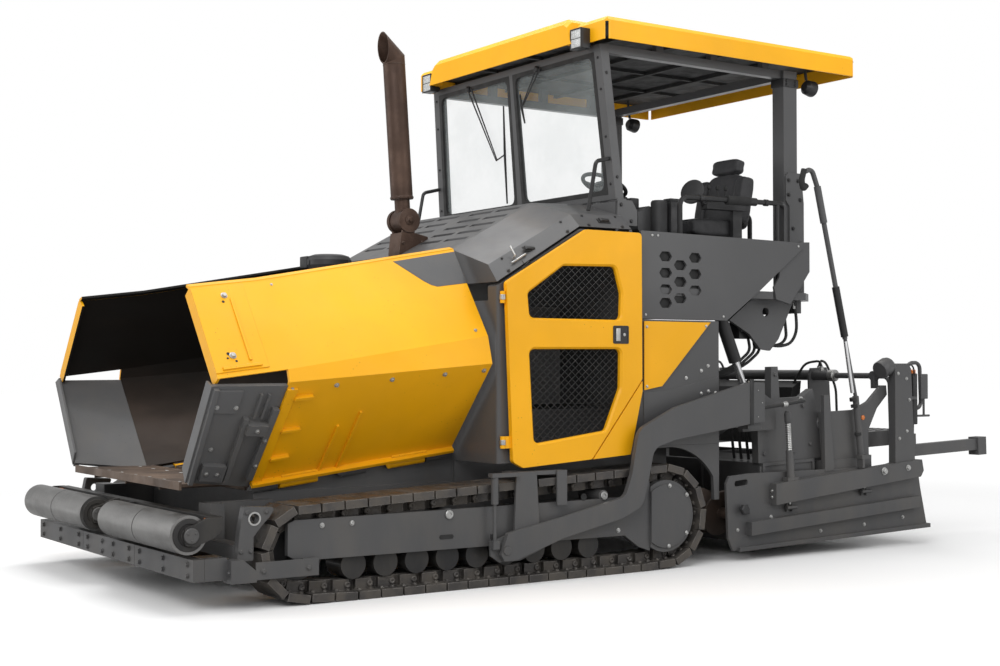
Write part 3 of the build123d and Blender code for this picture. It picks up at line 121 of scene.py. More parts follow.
class Finish(Nodes):
    """One material's nodes, with short ways to add to them."""

    def __init__(self, name):
        self.material = bpy.data.materials.new(name)
        super().__init__(self.material)
        self.place = self.node("ShaderNodeTexCoord", output="Object")

    def noise(self, scale, detail=3.0, stretch=(1, 1, 1)):
        at = self.node("ShaderNodeMapping", {}, {"Vector": self.place, "Scale": stretch})
        sockets = {"Vector": at, "Scale": scale, "Detail": detail, "Roughness": 0.55}
        return self.node("ShaderNodeTexNoise", {}, sockets)

    def cells(self, scale):
        """Distance to the nearest of scattered points."""
        return self.node("ShaderNodeTexVoronoi", {}, {"Vector": self.place, "Scale": scale}, "Distance")

    def axis(self, letter):
        return self.node("ShaderNodeSeparateXYZ", {}, {"Vector": self.place}, letter)

    def normal(self):
        return self.node("ShaderNodeNewGeometry", output="Normal")

    def facing(self, letter):
        return self.node("ShaderNodeSeparateXYZ", {}, {"Vector": self.normal()}, letter)

    def rounded(self, radius):
        return self.node("ShaderNodeBevel", {"samples": 4}, {"Radius": radius})

    def edges(self, radius):
        """1 on convex and concave edges, 0 on open faces."""
        sockets = {0: self.rounded(radius), 1: self.normal()}
        match = self.node("ShaderNodeVectorMath", {"operation": "DOT_PRODUCT"}, sockets, "Value")
        return (1.0 - match).span(0.02, 0.25)

    def blend(self, amount, colour, other):
        return self.node("ShaderNodeMix", {"data_type": "RGBA"}, {0: amount, 6: rgba(colour), 7: rgba(other)},
                         2)

    def bump(self, height, depth, normal=None):
        sockets = {"Height": height, "Distance": depth, "Strength": 1.0}
        if normal:
            sockets["Normal"] = normal
        return self.node("ShaderNodeBump", {}, sockets)

    def surface(self, **sockets):
        """Ends the nodes in a principled shader and gives the material."""
        named = {key.replace("_", " "): value for key, value in sockets.items()}
        named["Base Color"] = rgba(named["Base Color"])
        shader = self.node("ShaderNodeBsdfPrincipled", {}, named)
        self.node("ShaderNodeOutputMaterial", {}, {"Surface": shader})
        return self.material


def rgba(colour):
    if isinstance(colour, Wire) or len(colour) == 4:
        return colour
    return (*colour, 1.0)


def tint(colour, share, lift=0.0):
    """A colour made darker or brighter, and held below white."""
    return tuple(min(part * share + lift, 1) for part in colour)


# --- finishes ---

DUST = (0.20, 0.175, 0.14)
TAR = (0.012, 0.011, 0.010)


def paint(name, colour, roughness=0.38, coat=0.25, dust=0.35, chips=0.5, bare=(0.13, 0.12, 0.11), spots=0.0,
          inside=None):
    """Machine enamel: faint mottling, dust low down and on ledges, worn edges, tar spots.

    `inside` is the (low, high) colours of faces that look towards the machine's middle.
    """
    f = Finish(name)
    broad = f.noise(1.1, 4)
    fine = f.noise(45, 3)
    ledge = f.facing("Z").span(0.3, 1.0) * f.noise(7, 5).span(0.35, 0.75)
    low = f.axis("Z").span(0.1, 1.5, 1.0, 0.0) * f.noise(4.5, 6, (1, 1, 0.35)).span(0.38, 0.72)
    dirt = (ledge * 0.5 + low * 0.55) * dust
    worn = f.edges(0.006) * f.noise(19, 5).span(0.47, 0.62) * chips
    shade = f.blend(broad.span(0.3, 0.75), tint(colour, 0.9), tint(colour, 1.06))
    shade = f.blend(dirt, shade, DUST)
    shade = f.blend(worn, shade, bare)
    if spots:
        speck = f.cells(34).span(0.06, 0.11, 1.0, 0.0) * f.noise(2.3, 3).span(0.5, 0.62) * spots
        shade = f.blend(speck, shade, TAR)
    rough = f.noise(5, 4).span(0.3, 0.8, roughness - 0.05, roughness + 0.1) + dirt * 0.35
    if inside:
        inward = (f.axis("X") * f.facing("X")).span(-0.10, -0.02, 1.0, 0.0) * f.facing("Y").span(-0.8, -0.5)
        inward = inward * f.facing("Z").span(0.70, 0.76, 1.0, 0.0)
        scraped = f.noise(3.5, 6, (1, 0.4, 1)).span(0.4, 0.66)
        depth = (f.axis("Z") + f.noise(2.6, 5) * 0.3).span(1.05, 1.45)
        lining = f.blend(depth, inside[0], inside[1])
        lining = f.blend(scraped * 0.4, lining, tint(inside[1], 0.45))
        shade = f.blend(inward, shade, lining)
        rough = rough + inward * 0.12
    normal = f.bump(fine, 0.0004, f.rounded(0.004))
    return f.surface(Base_Color=shade, Roughness=rough, Normal=normal, Coat_Weight=coat, Coat_Roughness=0.12,
                     Specular_IOR_Level=0.28)


def hot_steel(name, colour, other, roughness=0.6, metal=0.55):
    """Bare steel browned by heat, mix and rust."""
    f = Finish(name)
    patches = f.noise(3.2, 6).span(0.35, 0.68)
    streaks = f.noise(2.2, 5, (1, 1, 0.12)).span(0.45, 0.7)
    shade = f.blend(patches, colour, other)
    shade = f.blend(streaks * 0.45, shade, tint(colour, 0.45))
    edge = f.edges(0.006) * f.noise(14, 4).span(0.4, 0.6)
    shade = f.blend(edge * 0.5, shade, (0.36, 0.33, 0.30))
    rough = f.noise(8, 5).span(0.3, 0.75, roughness - 0.12, roughness + 0.15)
    normal = f.bump(f.noise(85, 4) + f.cells(22) * 0.5, 0.0012, f.rounded(0.004))
    return f.surface(Base_Color=shade, Roughness=rough, Normal=normal, Metallic=metal)


def bright_steel(name, colour, roughness, turned=0.0, scuff=0.4):
    """Turned or rolled bright steel, scuffed along its length."""
    f = Finish(name)
    marks = f.noise(2.5, 5, (0.6, 3, 3)).span(0.4, 0.68) * scuff
    shade = f.blend(marks, colour, tint(colour, 0.45))
    rough = f.noise(9, 4).span(0.3, 0.8, roughness, roughness + 0.16) + marks * 0.2
    rings = f.noise(1, 2, (240, 2, 2))
    normal = f.bump(rings, 0.0002 + turned * 0.0006)
    return f.surface(Base_Color=shade, Roughness=rough, Normal=normal, Metallic=0.92)


def crawler_steel(name):
    """Forged track steel: earth in the hollows, polished on what touches."""
    f = Finish(name)
    mud = f.noise(9, 6).span(0.38, 0.64)
    shade = f.blend(mud, (0.070, 0.065, 0.062), (0.125, 0.112, 0.098))
    edge = f.edges(0.008) * f.noise(24, 4).span(0.36, 0.56)
    shade = f.blend(edge * 0.8, shade, (0.30, 0.28, 0.26))
    rough = mud.span(0, 1, 0.45, 0.8) - edge * 0.15
    normal = f.bump(f.noise(120, 4) + f.noise(30, 3), 0.0016, f.rounded(0.005))
    return f.surface(Base_Color=shade, Roughness=rough, Normal=normal, Metallic=0.45)


def pane(name, colour, alpha):
    """Thin clear glazing, faintly hazed with dust."""
    f = Finish(name)
    haze = f.noise(2.1, 4).span(0.35, 0.8)
    see = haze.span(0, 1, alpha, alpha + 0.07)
    rough = haze.span(0, 1, 0.02, 0.09)
    return f.surface(Base_Color=colour, Roughness=rough, Alpha=see, IOR=1.5)


def vinyl(name, colour):
    """Grained black seat cover with rubbed patches."""
    f = Finish(name)
    grain = f.cells(420)
    crease = f.noise(26, 5)
    shade = f.blend(f.noise(3, 3).span(0.35, 0.7), colour, tint(colour, 1.7))
    rough = crease.span(0.3, 0.75, 0.5, 0.66)
    normal = f.bump(grain + crease * 1.5, 0.0007)
    return f.surface(Base_Color=shade, Roughness=rough, Normal=normal, Sheen_Weight=0.12)


def moulded(name, colour, roughness=0.55, grain=260.0):
    """Moulded plastic, rubber or foam."""
    f = Finish(name)
    shade = f.blend(f.noise(6, 4).span(0.35, 0.75), colour, tint(colour, 1.5, 0.006))
    rough = f.noise(14, 3).span(0.3, 0.75, roughness - 0.06, roughness + 0.12)
    normal = f.bump(f.noise(grain, 3), 0.0005, f.rounded(0.002))
    return f.surface(Base_Color=shade, Roughness=rough, Normal=normal)


def lens(name, colour, glow=0.0):
    """Ribbed lamp or reflector lens. A glow above nought is painted light: an emission that makes a lens that
    is no lamp shine.
    """
    f = Finish(name)
    ribs = f.cells(150)
    shade = f.blend(ribs.span(0.1, 0.6), colour, tint(colour, 0.55))
    rough = f.noise(30, 3).span(0.3, 0.8, 0.08, 0.2)
    return f.surface(Base_Color=shade, Roughness=rough, Normal=f.bump(ribs, 0.002), Coat_Weight=0.6,
                     Emission_Color=rgba(colour), Emission_Strength=glow)


YELLOW, GREY, HOPPER_GREY = (0.93, 0.44, 0.003), (0.084, 0.084, 0.086), (0.12, 0.12, 0.122)
YELLOW_WEAR = {"roughness": 0.45, "coat": 0.05, "dust": 0.10, "chips": 0.35, "spots": 0.6,
               "bare": (0.30, 0.22, 0.10)}
TARRED = ((0.050, 0.034, 0.025), (0.008, 0.007, 0.006))
LOOKS = {
    "yellow": lambda: paint("yellow_enamel", YELLOW, **YELLOW_WEAR),
    "wing_yellow": lambda: paint("wing_enamel", YELLOW, **YELLOW_WEAR, inside=TARRED),
    "grey": lambda: paint("grey_enamel", GREY, 0.42, 0.15, 0.3, 0.45),
    "hopper_grey": lambda: paint("scuffed_grey_enamel", HOPPER_GREY, 0.45, 0.1, 0.5, 0.9, (0.22, 0.19, 0.16),
                                 0.5),
    "black": lambda: paint("black_enamel", (0.022, 0.022, 0.023), 0.4, 0.15, 0.3, 0.5),
    "primer": lambda: paint("engine_primer", (0.14, 0.14, 0.14), 0.6, 0.0, 0.3, 0.2),
    "hopper_steel": lambda: hot_steel("hopper_floor_steel", (0.105, 0.078, 0.062), (0.19, 0.135, 0.10)),
    "auger_steel": lambda: hot_steel("auger_cast_steel", (0.085, 0.070, 0.060), (0.14, 0.10, 0.08), 0.5,
                                     0.7),
    "exhaust": lambda: hot_steel("exhaust_steel", (0.062, 0.036, 0.026), (0.115, 0.070, 0.050), 0.5, 0.6),
    "roller": lambda: bright_steel("turned_roller_steel", (0.26, 0.256, 0.25), 0.28, 1.0, 0.4),
    "chrome": lambda: bright_steel("hard_chrome", (0.78, 0.78, 0.79), 0.08, 0.0, 0.15),
    "zinc": lambda: bright_steel("zinc_plate", (0.50, 0.50, 0.49), 0.34, 0.0, 0.4),
    "track": lambda: crawler_steel("forged_track_steel"),
    "glass": lambda: pane("clear_glass", (0.60, 0.66, 0.66), 0.10),
    "vinyl": lambda: vinyl("seat_vinyl", (0.020, 0.020, 0.022)),
    "plastic": lambda: moulded("black_plastic", (0.018, 0.018, 0.019)),
    # Near black, darker than the black enamel: painted shade under the canopy roof, put into the ceiling's
    # colour.
    "lining": lambda: moulded("roof_lining_painted_shade", (0.005, 0.005, 0.005), 0.7, 60.0),
    "rubber": lambda: moulded("black_rubber", (0.014, 0.014, 0.014), 0.7, 120.0),
    "foam": lambda: moulded("grip_foam", (0.017, 0.017, 0.017), 0.9, 90.0),
    "screen": lambda: lens("display_glass", (0.02, 0.024, 0.028)),
    "clear_lens": lambda: lens("clear_lens", (0.78, 0.80, 0.80)),
    # The amber and red lenses glow a little: painted glow on reflectors and markers, which are no lamps.
    "amber_lens_painted_glow": lambda: lens("amber_lens_painted_glow", (0.85, 0.22, 0.02), 0.15),
    "red_lens_painted_glow": lambda: lens("red_lens_painted_glow", (0.60, 0.02, 0.015), 0.1),
}
_made = {}


def look(name):
    """A finish by name, made once."""
    if name not in _made:
        _made[name] = LOOKS[name]()
    return _made[name]


# Which finish each node of the frame gets, by its name without its side.
NODE_LOOKS = {
    "grey": ("chassis", "body_shell", "hood", "platform", "canopy_posts", "side_panel", "track_frame",
             "tow_points", "tow_arm", "tow_plate", "bumper", "screed_main", "extension", "end_plate",
             "walkway", "auger_carrier", "mast", "console"),
    "hopper_grey": ("wing_flap",),
    "wing_yellow": ("wing",),
    "yellow": ("service_door", "quarter_panel", "canopy_roof"),
    "black": ("push_beam", "track_wheels", "lift_barrels", "handrails"),
    # The canopy's ceiling is painted near black for the shade under the roof.
    "lining": ("canopy_ceiling",),
    "hopper_steel": ("conveyor", "apron"),
    "auger_steel": ("auger",),
    "exhaust": ("exhaust_base", "exhaust_stack"),
    "roller": ("push_roller",),
    "chrome": ("lift_rods",),
    "track": ("track",),
    "glass": ("windscreen",),
    "vinyl": ("seats",),
    "plastic": ("steering_wheel", "seat_bases", "air_cleaner", "door_mesh"),
    "primer": ("engine",),
}

# The part's material slot that each fitting's finish stands for.
SLOTS = {"grey": "grey_paint", "black": "black_paint", "exhaust": "exhaust_steel", "track": "track_steel",
         "vinyl": "seat_cover", "clear_lens": "glass", **dict.fromkeys(("chrome", "zinc"), "chrome"),
         **dict.fromkeys(("amber_lens_painted_glow", "red_lens_painted_glow"), "yellow_paint"),
         **dict.fromkeys(("plastic", "rubber", "foam", "screen"), "black_plastic")}


# --- mesh building ---


def facing_frame(at, along, up=UP):
    """A frame at a point with its Z along a direction."""
    z = Vector(along).normalized()
    y = Vector(up)
    if abs(z.dot(y)) > 0.99:
        y = Vector(REARWARD)
    x = y.cross(z).normalized()
    y = z.cross(x)
    return Matrix.Translation(at) @ Matrix((x, y, z)).transposed().to_4x4()


def circle(count, radius, start=0.0):
    """Points of a circle as (x, y)."""
    turns = [math.tau * k / count + start for k in range(count)]
    return [(radius * math.cos(turn), radius * math.sin(turn)) for turn in turns]


def arc(knee, to_before, to_after, cut, steps):
    """A rounded knee between two ways out of it."""
    start, end = knee + to_before.normalized() * cut, knee + to_after.normalized() * cut
    for step in range(steps + 1):
        t = step / steps
        yield start * (1 - t) ** 2 + knee * 2 * t * (1 - t) + end * t ** 2


def rounded_path(points, radius, steps=5):
    """A path whose knees are arcs, as a list of points."""
    points = [Vector(p) for p in points]
    path = [points[0]]
    for before, knee, after in zip(points, points[1:], points[2:]):
        cut = min(radius, (before - knee).length * 0.49, (after - knee).length * 0.49)
        path += arc(knee, before - knee, after - knee, cut, steps)
    return path + [points[-1]]


def rounded_loop(points, radius, steps=5):
    """A closed outline whose corners are rounded."""
    points = [Vector(p) for p in points]
    path = []
    for before, knee, after in zip([points[-1]] + points, points, points[1:] + points[:1]):
        cut = min(radius, (before - knee).length * 0.45, (after - knee).length * 0.45)
        path += arc(knee, before - knee, after - knee, cut, steps)
    return path


class Shape:
    """A mesh under construction, in the model's own metres."""

    def __init__(self):
        self.mesh = bmesh.new()

    def box(self, low, high, bevel=0.002, at=None):
        low, high = Vector(low), Vector(high)
        verts = bmesh.ops.create_cube(self.mesh, size=1)["verts"]
        scale = Matrix.Diagonal((*(high - low), 1))
        bmesh.ops.transform(self.mesh, matrix=Matrix.Translation((low + high) / 2) @ scale, verts=verts)
        if at is not None:
            bmesh.ops.transform(self.mesh, matrix=at, verts=verts)
        if bevel:
            edges = list(dict.fromkeys(edge for vert in verts for edge in vert.link_edges))
            bmesh.ops.bevel(self.mesh, geom=edges, offset=bevel, segments=2, affect="EDGES", profile=0.6)

    def lathe(self, profile, at, along, sides=20):
        """A turned form: profile is a list of (height, radius) from one end to the other."""
        place = facing_frame(at, along)
        self.join([[place @ Vector((x, y, height)) for x, y in circle(sides, radius)] for height,
                   radius in profile])

    def join(self, rings, closed=False):
        """Walls between rings of points, with the two ends capped unless the rings close."""
        rings = [[self.mesh.verts.new(spot) for spot in ring] for ring in rings]
        pairs = list(zip(rings, rings[1:]))
        if closed:
            pairs.append((rings[-1], rings[0]))
        for lower, upper in pairs:
            for step in range(len(lower)):
                after = (step + 1) % len(lower)
                self.mesh.faces.new((lower[step], lower[after], upper[after], upper[step]))
        if not closed:
            self.mesh.faces.new(rings[0][::-1])
            self.mesh.faces.new(rings[-1])

    def ring(self, outer, inner, rise):
        """A flat frame between two closed outlines with as many points, `rise` thick."""
        flat = Vector()
        self.join([[Vector(spot) + shift for spot in line] for line,
                   shift in ((outer, flat), (outer, rise), (inner, rise), (inner, flat))], True)

    def pillow(self, middle, half, turn, square=0.42, steps=20):
        """A crowned pad: a rounded box whose faces swell, with a seam round its waist."""
        def swell(value):
            return math.copysign(abs(value) ** square, value)

        rings = []
        for level in range(1, steps):
            tilt = math.pi * level / steps - math.pi / 2
            waist = 1 - 0.035 * math.exp(-(tilt / 0.10) ** 2)
            ring = []
            for step in range(2 * steps):
                angle = math.tau * step / (2 * steps)
                spot = Vector((half[0] * swell(math.cos(tilt)) * swell(math.cos(angle)) * waist,
                               half[1] * swell(math.cos(tilt)) * swell(math.sin(angle)) * waist,
                               half[2] * swell(math.sin(tilt))))
                ring.append(Vector(middle) + turn @ spot)
            rings.append(ring)
        self.join(rings)

    def tube(self, path, radius, sides=10, closed=False):
        """A round bar along a path of points; radius is one value or one for each point."""
        path = [Vector(p) for p in path]
        radii = radius if isinstance(radius, (list, tuple)) else [radius] * len(path)
        count = len(path)
        side = None
        rings = []
        for step, (spot, r) in enumerate(zip(path, radii)):
            before = path[step - 1] if step or closed else spot
            after = path[(step + 1) % count] if step < count - 1 or closed else spot
            ahead = (after - before).normalized()
            if side is None:
                side = ahead.orthogonal().normalized()
            side = (side - ahead * side.dot(ahead)).normalized()
            up = ahead.cross(side)
            rings.append([spot + side * x + up * y for x, y in circle(sides, r)])
        self.join(rings, closed)

    def hose(self, points, bend, radius, sides=8, steps=4):
        """A round bar whose knees are rounded."""
        self.tube(rounded_path(points, bend, steps), radius, sides)

    def bolt(self, at, along, size=0.012, washer=True):
        """A hexagon head on its washer; size is the head's radius."""
        if washer:
            disc = [(0, size * 1.35), (size * 0.22, size * 1.35), (size * 0.25, size * 1.25)]
            self.lathe(disc, at, along, 14)
        self.lathe([(size * 0.2, size), (size * 0.85, size), (size * 0.98, size * 0.86)], at, along, 6)

    def side_bolts(self, x, spots, size, washer=True):
        """Bolts at (y, z) spots on an upright face that looks away from the machine's middle."""
        for y, z in spots:
            self.bolt((x, y, z), (math.copysign(1, x), 0, 0), size, washer)

    def rivet(self, at, along, size=0.008):
        profile = [(0, size), (size * 0.3, size * 0.95), (size * 0.6, size * 0.6), (size * 0.68, size * 0.2)]
        self.lathe(profile, at, along, 10)

    def mirrored(self):
        """A copy of this shape on the other side of the machine."""
        twin = Shape()
        twin.mesh = self.mesh.copy()
        bmesh.ops.scale(twin.mesh, vec=(-1, 1, 1), verts=twin.mesh.verts)
        bmesh.ops.reverse_faces(twin.mesh, faces=twin.mesh.faces)
        return twin

    def finish(self, name, finish, body, crease=32.0):
        """Turns the shape into a piece that rides on a body."""
        bmesh.ops.recalc_face_normals(self.mesh, faces=self.mesh.faces)
        for edge in self.mesh.edges:
            edge.smooth = len(edge.link_faces) == 2 and edge.calc_face_angle(0) < math.radians(crease)
        for face in self.mesh.faces:
            face.smooth = True
        mesh = bpy.data.meshes.new(name)
        self.mesh.to_mesh(mesh)
        self.mesh.free()
        piece = bpy.data.objects.new(name, mesh)
        bpy.context.scene.collection.objects.link(piece)
        mesh.materials.append(look(finish))
        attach(piece, body)
        return piece

    def finish_pair(self, name, finish, bodies):
        """Makes the left piece and its mirror image; bodies are the left's and the right's."""
        twin = self.mirrored()
        self.finish(f"{name}_left", finish, bodies[0])
        twin.finish(f"{name}_right", finish, bodies[1])


def pair(stem):
    return (f"{stem}_left", f"{stem}_right")


def shapes(count):
    return [Shape() for _ in range(count)]


# The bodies that a left piece and its mirror image ride on.
ROOT, PUSH_BEAM, SCREED = ("root", "root"), ("push_beam", "push_beam"), ("screed", "screed")
WINGS, DOORS, EXTENSIONS = pair("wing"), pair("service_door"), pair("extension")


# --- where things are on the machine ---


class Facet:
    """A flat panel on the left side, as (y, low, high) at its front and at its rear.

    Low and high are the (x, z) of the panel's lower and upper edge there.
    """

    def __init__(self, front, rear):
        self.front, self.rear = front, rear

    def line(self, y):
        (y0, low0, high0), (y1, low1, high1) = self.front, self.rear
        part = (y - y0) / (y1 - y0)
        low = Vector((*low0, 0)).lerp(Vector((*low1, 0)), part)
        high = Vector((*high0, 0)).lerp(Vector((*high1, 0)), part)
        return low, high

    def out(self, y):
        low, high = self.line(y)
        span = high - low
        return Vector((span.y, 0, -span.x)).normalized()

    def at(self, y, up, rise=0.0):
        """The point at y, `up` running from 0 at the low edge to 1 at the high one."""
        low, high = self.line(y)
        spot = low.lerp(high, up)
        return Vector((spot.x, y, spot.y)) + self.out(y) * rise


LOWER_WING = Facet((-2.6, (0.774, 0.607), (1.268, 1.170)), (-1.29, (0.774, 0.762), (1.222, 1.270)))
UPPER_WING = Facet((-2.6, (1.248, 1.238), (0.874, 1.723)), (-1.29, (1.176, 1.430), (0.800, 1.958)))
REACH_WING = Facet((-3.0, (1.258, 1.190), (0.884, 1.674)), (-2.6, (1.248, 1.238), (0.874, 1.723)))
FLAP = Facet((-3.018, (0.905, 0.640), (1.252, 1.152)), (-2.602, (0.762, 0.592), (1.252, 1.152)))
HOOD_BEND = -0.64
HOOD_SIDE = Facet((-1.24, (1.196, 1.745), (1.1, 1.85)), (HOOD_BEND, (1.196, 2.098), (1.1, 2.18)))
HOOD_REAR = Facet((HOOD_BEND, (1.196, 2.098), (1.1, 2.18)), (-0.237, (1.196, 2.1), (1.1, 2.192)))

SCREEN_LEAN = math.radians(5)
SCREEN_OUT = Vector((0, -math.cos(SCREEN_LEAN), -math.sin(SCREEN_LEAN)))


def screen(x, up, out=0.0):
    """A point on the windscreen frame's leaning front, `up` from the cowl and `out` in front of it."""
    return Vector((x, -0.236 - up * math.sin(SCREEN_LEAN) - out * math.cos(SCREEN_LEAN),
                   2.302 + up * math.cos(SCREEN_LEAN) - out * math.sin(SCREEN_LEAN)))


TOW_PIN = Vector((0, -1.262, 0.205))
CARRIED = math.radians(2)


def carried(x, y, z):
    """A point of the screed that was drawn level, where the screed is carried."""
    return TOW_PIN + Matrix.Rotation(CARRIED, 3, "X") @ (Vector((x, y, z)) - TOW_PIN)


def hull(points):
    """The convex outline round points of a plane, anticlockwise."""
    points = sorted(set(points))
    chains = []
    for run in (points, points[::-1]):
        chain = []
        for spot in run:
            while len(chain) > 1 and ((chain[-1][0] - chain[-2][0]) * (spot[1] - chain[-2][1])
                                      - (chain[-1][1] - chain[-2][1]) * (spot[0] - chain[-2][0])) <= 0:
                chain.pop()
            chain.append(spot)
        chains.append(chain[:-1])
    return chains[0] + chains[1]


# --- sizes and colours that a user may change ---


class PaverStage(bpy.types.PropertyGroup):
    lens: bpy.props.FloatProperty(name="Lens", description="Focal length of the camera", default=53.81,
                                  unit="CAMERA")
    camera_place: bpy.props.FloatVectorProperty(name="Camera", description="Where the camera stands",
                                                default=(8.355, -6.098, 1.252), subtype="TRANSLATION")
    azimuth: bpy.props.FloatProperty(name="Azimuth", description="Turn of the view from the rearward axis",
                                     default=math.radians(55.73), subtype="ANGLE")
    pitch: bpy.props.FloatProperty(name="Pitch", description="Upward tilt of the view",
                                   default=math.radians(1.293), subtype="ANGLE")
    floor_colour: bpy.props.FloatVectorProperty(name="Floor", description="Colour of the studio floor",
                                                default=(0.93, 0.93, 0.93), subtype="COLOR")
    bounce_colour: bpy.props.FloatVectorProperty(name="Bounce",
                                                 description="Colour that the floor throws back",
                                                 default=(0.42, 0.42, 0.42), subtype="COLOR")


class PaverFittings(bpy.types.PropertyGroup):
    mesh_pitch: bpy.props.FloatProperty(name="Mesh pitch",
                                        description="Length of one diamond in the door screens",
                                        default=0.052, unit="LENGTH")
    mesh_strand: bpy.props.FloatProperty(name="Strand", description="Width of one strand in the door screens",
                                         default=0.0045, unit="LENGTH")


class PaverOperator(bpy.types.Operator):
    """Base of the paver's operators."""

    bl_options = {"UNDO"}

    def execute(self, context):
        self.build(context)
        return {"FINISHED"}


# --- stage ---

# Name, place, size and watts of each soft lamp, and the point that they all face.
LAMPS = (("key", (7.5, -8.0, 8.0), 7.0, 640), ("fill", (9.5, 4.5, 5.0), 6.0, 215),
         ("top", (-1.0, 0.0, 9.0), 8.0, 640), ("front", (-5.0, -9.0, 4.0), 6.0, 190))
LAMP_AIM = Vector((0, -0.2, 1.2))
FLOOR_HALF = 60.0


def stand(name, data, place, ahead):
    """Puts a lamp or camera at a place, looking ahead."""
    holder = bpy.data.objects.new(name, data)
    bpy.context.scene.collection.objects.link(holder)
    holder.matrix_world = Matrix.Translation(place) @ ahead.to_track_quat("-Z", "Y").to_matrix().to_4x4()
    return holder


class PAVER_OT_stage(PaverOperator):
    """Floor, lights and camera"""

    bl_idname = "paver.stage"
    bl_label = "Stage"

    def build(self, context):
        settings = context.scene.paver_stage
        scene = context.scene
        scene.view_settings.view_transform = "Standard"
        self.make_floor(settings)
        self.make_world(scene)
        for name, place, size, watts in LAMPS:
            lamp = bpy.data.lights.new(f"lamp_{name}", "AREA")
            lamp.size = size
            lamp.energy = watts
            stand(f"lamp_{name}", lamp, Vector(place), LAMP_AIM - Vector(place))
        camera = bpy.data.cameras.new("camera")
        camera.lens = settings.lens
        camera.sensor_width = 36
        camera.clip_end = 200
        flat = math.cos(settings.pitch)
        ahead = Vector((-math.sin(settings.azimuth) * flat, math.cos(settings.azimuth) * flat,
                        math.sin(settings.pitch)))
        scene.camera = stand("camera", camera, settings.camera_place, ahead)

    @staticmethod
    def make_floor(settings):
        """A pale floor that fades into a white backdrop, and keeps the machine's shadow."""
        mesh = bpy.data.meshes.new("floor")
        corners = [(x * FLOOR_HALF, y * FLOOR_HALF, 0) for x, y in ((-1, -1), (1, -1), (1, 1), (-1, 1))]
        mesh.from_pydata(corners, [], [(0, 1, 2, 3)])
        floor = bpy.data.objects.new("floor", mesh)
        bpy.context.scene.collection.objects.link(floor)
        f = Finish("studio_floor")
        seen = f.node("ShaderNodeLightPath", output="Is Camera Ray")
        away = f.node("ShaderNodeVectorMath", {"operation": "LENGTH"}, {0: f.place}, "Value").span(4.2, 8.5)
        shade = f.blend(seen, settings.bounce_colour, settings.floor_colour)
        shade = f.blend(away, shade, (0, 0, 0))
        glow = f.blend(away, (0, 0, 0), (1, 1, 1))
        mesh.materials.append(f.surface(Base_Color=shade, Roughness=0.8, Specular_IOR_Level=0.1,
                                        Emission_Color=glow, Emission_Strength=1.0))

    @staticmethod
    def make_world(scene):
        """Plain white surroundings, dimmer as light than as they are seen."""
        scene.world = bpy.data.worlds.new("studio")
        nodes = Nodes(scene.world)
        direct = nodes.node("ShaderNodeLightPath", output="Is Camera Ray")
        through = nodes.node("ShaderNodeLightPath", output="Is Transmission Ray")
        seen = direct.maths("MAXIMUM", direct, through)
        strength = nodes.node("ShaderNodeMapRange", {}, {"Value": seen, "To Min": 0.50, "To Max": 1.0})
        sky = nodes.node("ShaderNodeBackground", {}, {"Color": (1, 1, 1, 1), "Strength": strength})
        nodes.node("ShaderNodeOutputWorld", {}, {"Surface": sky})


class PAVER_OT_finishes(PaverOperator):
    """Finishes of the frame's own nodes"""

    bl_idname = "paver.finishes"
    bl_label = "Finishes"

    def build(self, context):
        finish_of = {stem: finish for finish, stems in NODE_LOOKS.items() for stem in stems}
        for name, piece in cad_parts.items():
            stem = name.removesuffix("_left").removesuffix("_right")
            piece.data.materials.clear()
            piece.data.materials.append(look(finish_of[stem]))


# --- door screens ---

DOOR_WINDOWS = ((0.785, 1.375), (1.522, 1.878))
# Below this height the lower screen's rear corner is cut off on a slant.
CUT_HEIGHT, CUT_SLOPE = 1.045, 0.82


class PAVER_OT_door_screens(PaverOperator):
    """Expanded-metal screens in the service doors"""

    bl_idname = "paver.door_screens"
    bl_label = "Door screens"

    def build(self, context):
        settings = context.scene.paver_fittings
        for side, sign in SIDES:
            low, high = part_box(f"door_mesh_{side}")
            outer = high.x if sign > 0 else low.x
            netting = Shape()
            for bottom, top in DOOR_WINDOWS:
                self.weave(netting, outer - sign * 0.002, low.y, high.y, bottom, top, settings)
            piece = netting.finish(f"door_screen_{side}", "black", f"service_door_{side}")
            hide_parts(f"door_mesh_{side}")

    @staticmethod
    def weave(shape, x, front, rear, bottom, top, settings):
        """Rows of zigzag strands whose points meet."""
        step = settings.mesh_pitch / 2
        rise = settings.mesh_pitch * 0.42
        columns = int((rear - front) / step)
        for row in range(int((top - bottom) / rise)):
            middle = bottom + rise * (row + 0.5)
            spare = max(0.0, CUT_HEIGHT - middle) * CUT_SLOPE
            path = []
            for column in range(columns + 1 - math.ceil(spare / step)):
                up = 1 if (column + row) % 2 else -1
                path.append(Vector((x, front + column * settings.mesh_pitch / 2, middle + up * rise / 2)))
            shape.tube(path, settings.mesh_strand * 0.62, 4)


# --- the crawlers ---

# Each wheel that the chain runs round, as its middle's y and z and the chain's outer radius.
LOOP_WHEELS = ((-2.5, 0.268, 0.256), (-0.02, 0.328, 0.316), (-2.19, 0.182, 0.182), (-0.23, 0.182, 0.182))
FLAT_FRONT, FLAT_REAR, FLAT_SHOES, SHOE_PITCH, SHOE_THICK = -2.19, -0.23, 14, 0.140, 0.045
# Outer faces of the final drive, and of the skirt where its bolts and where its pins are.
DRIVE_FACE, SKIRT_FACE, SKIRT_PIN_FACE = 1.271, 1.2505, 1.251


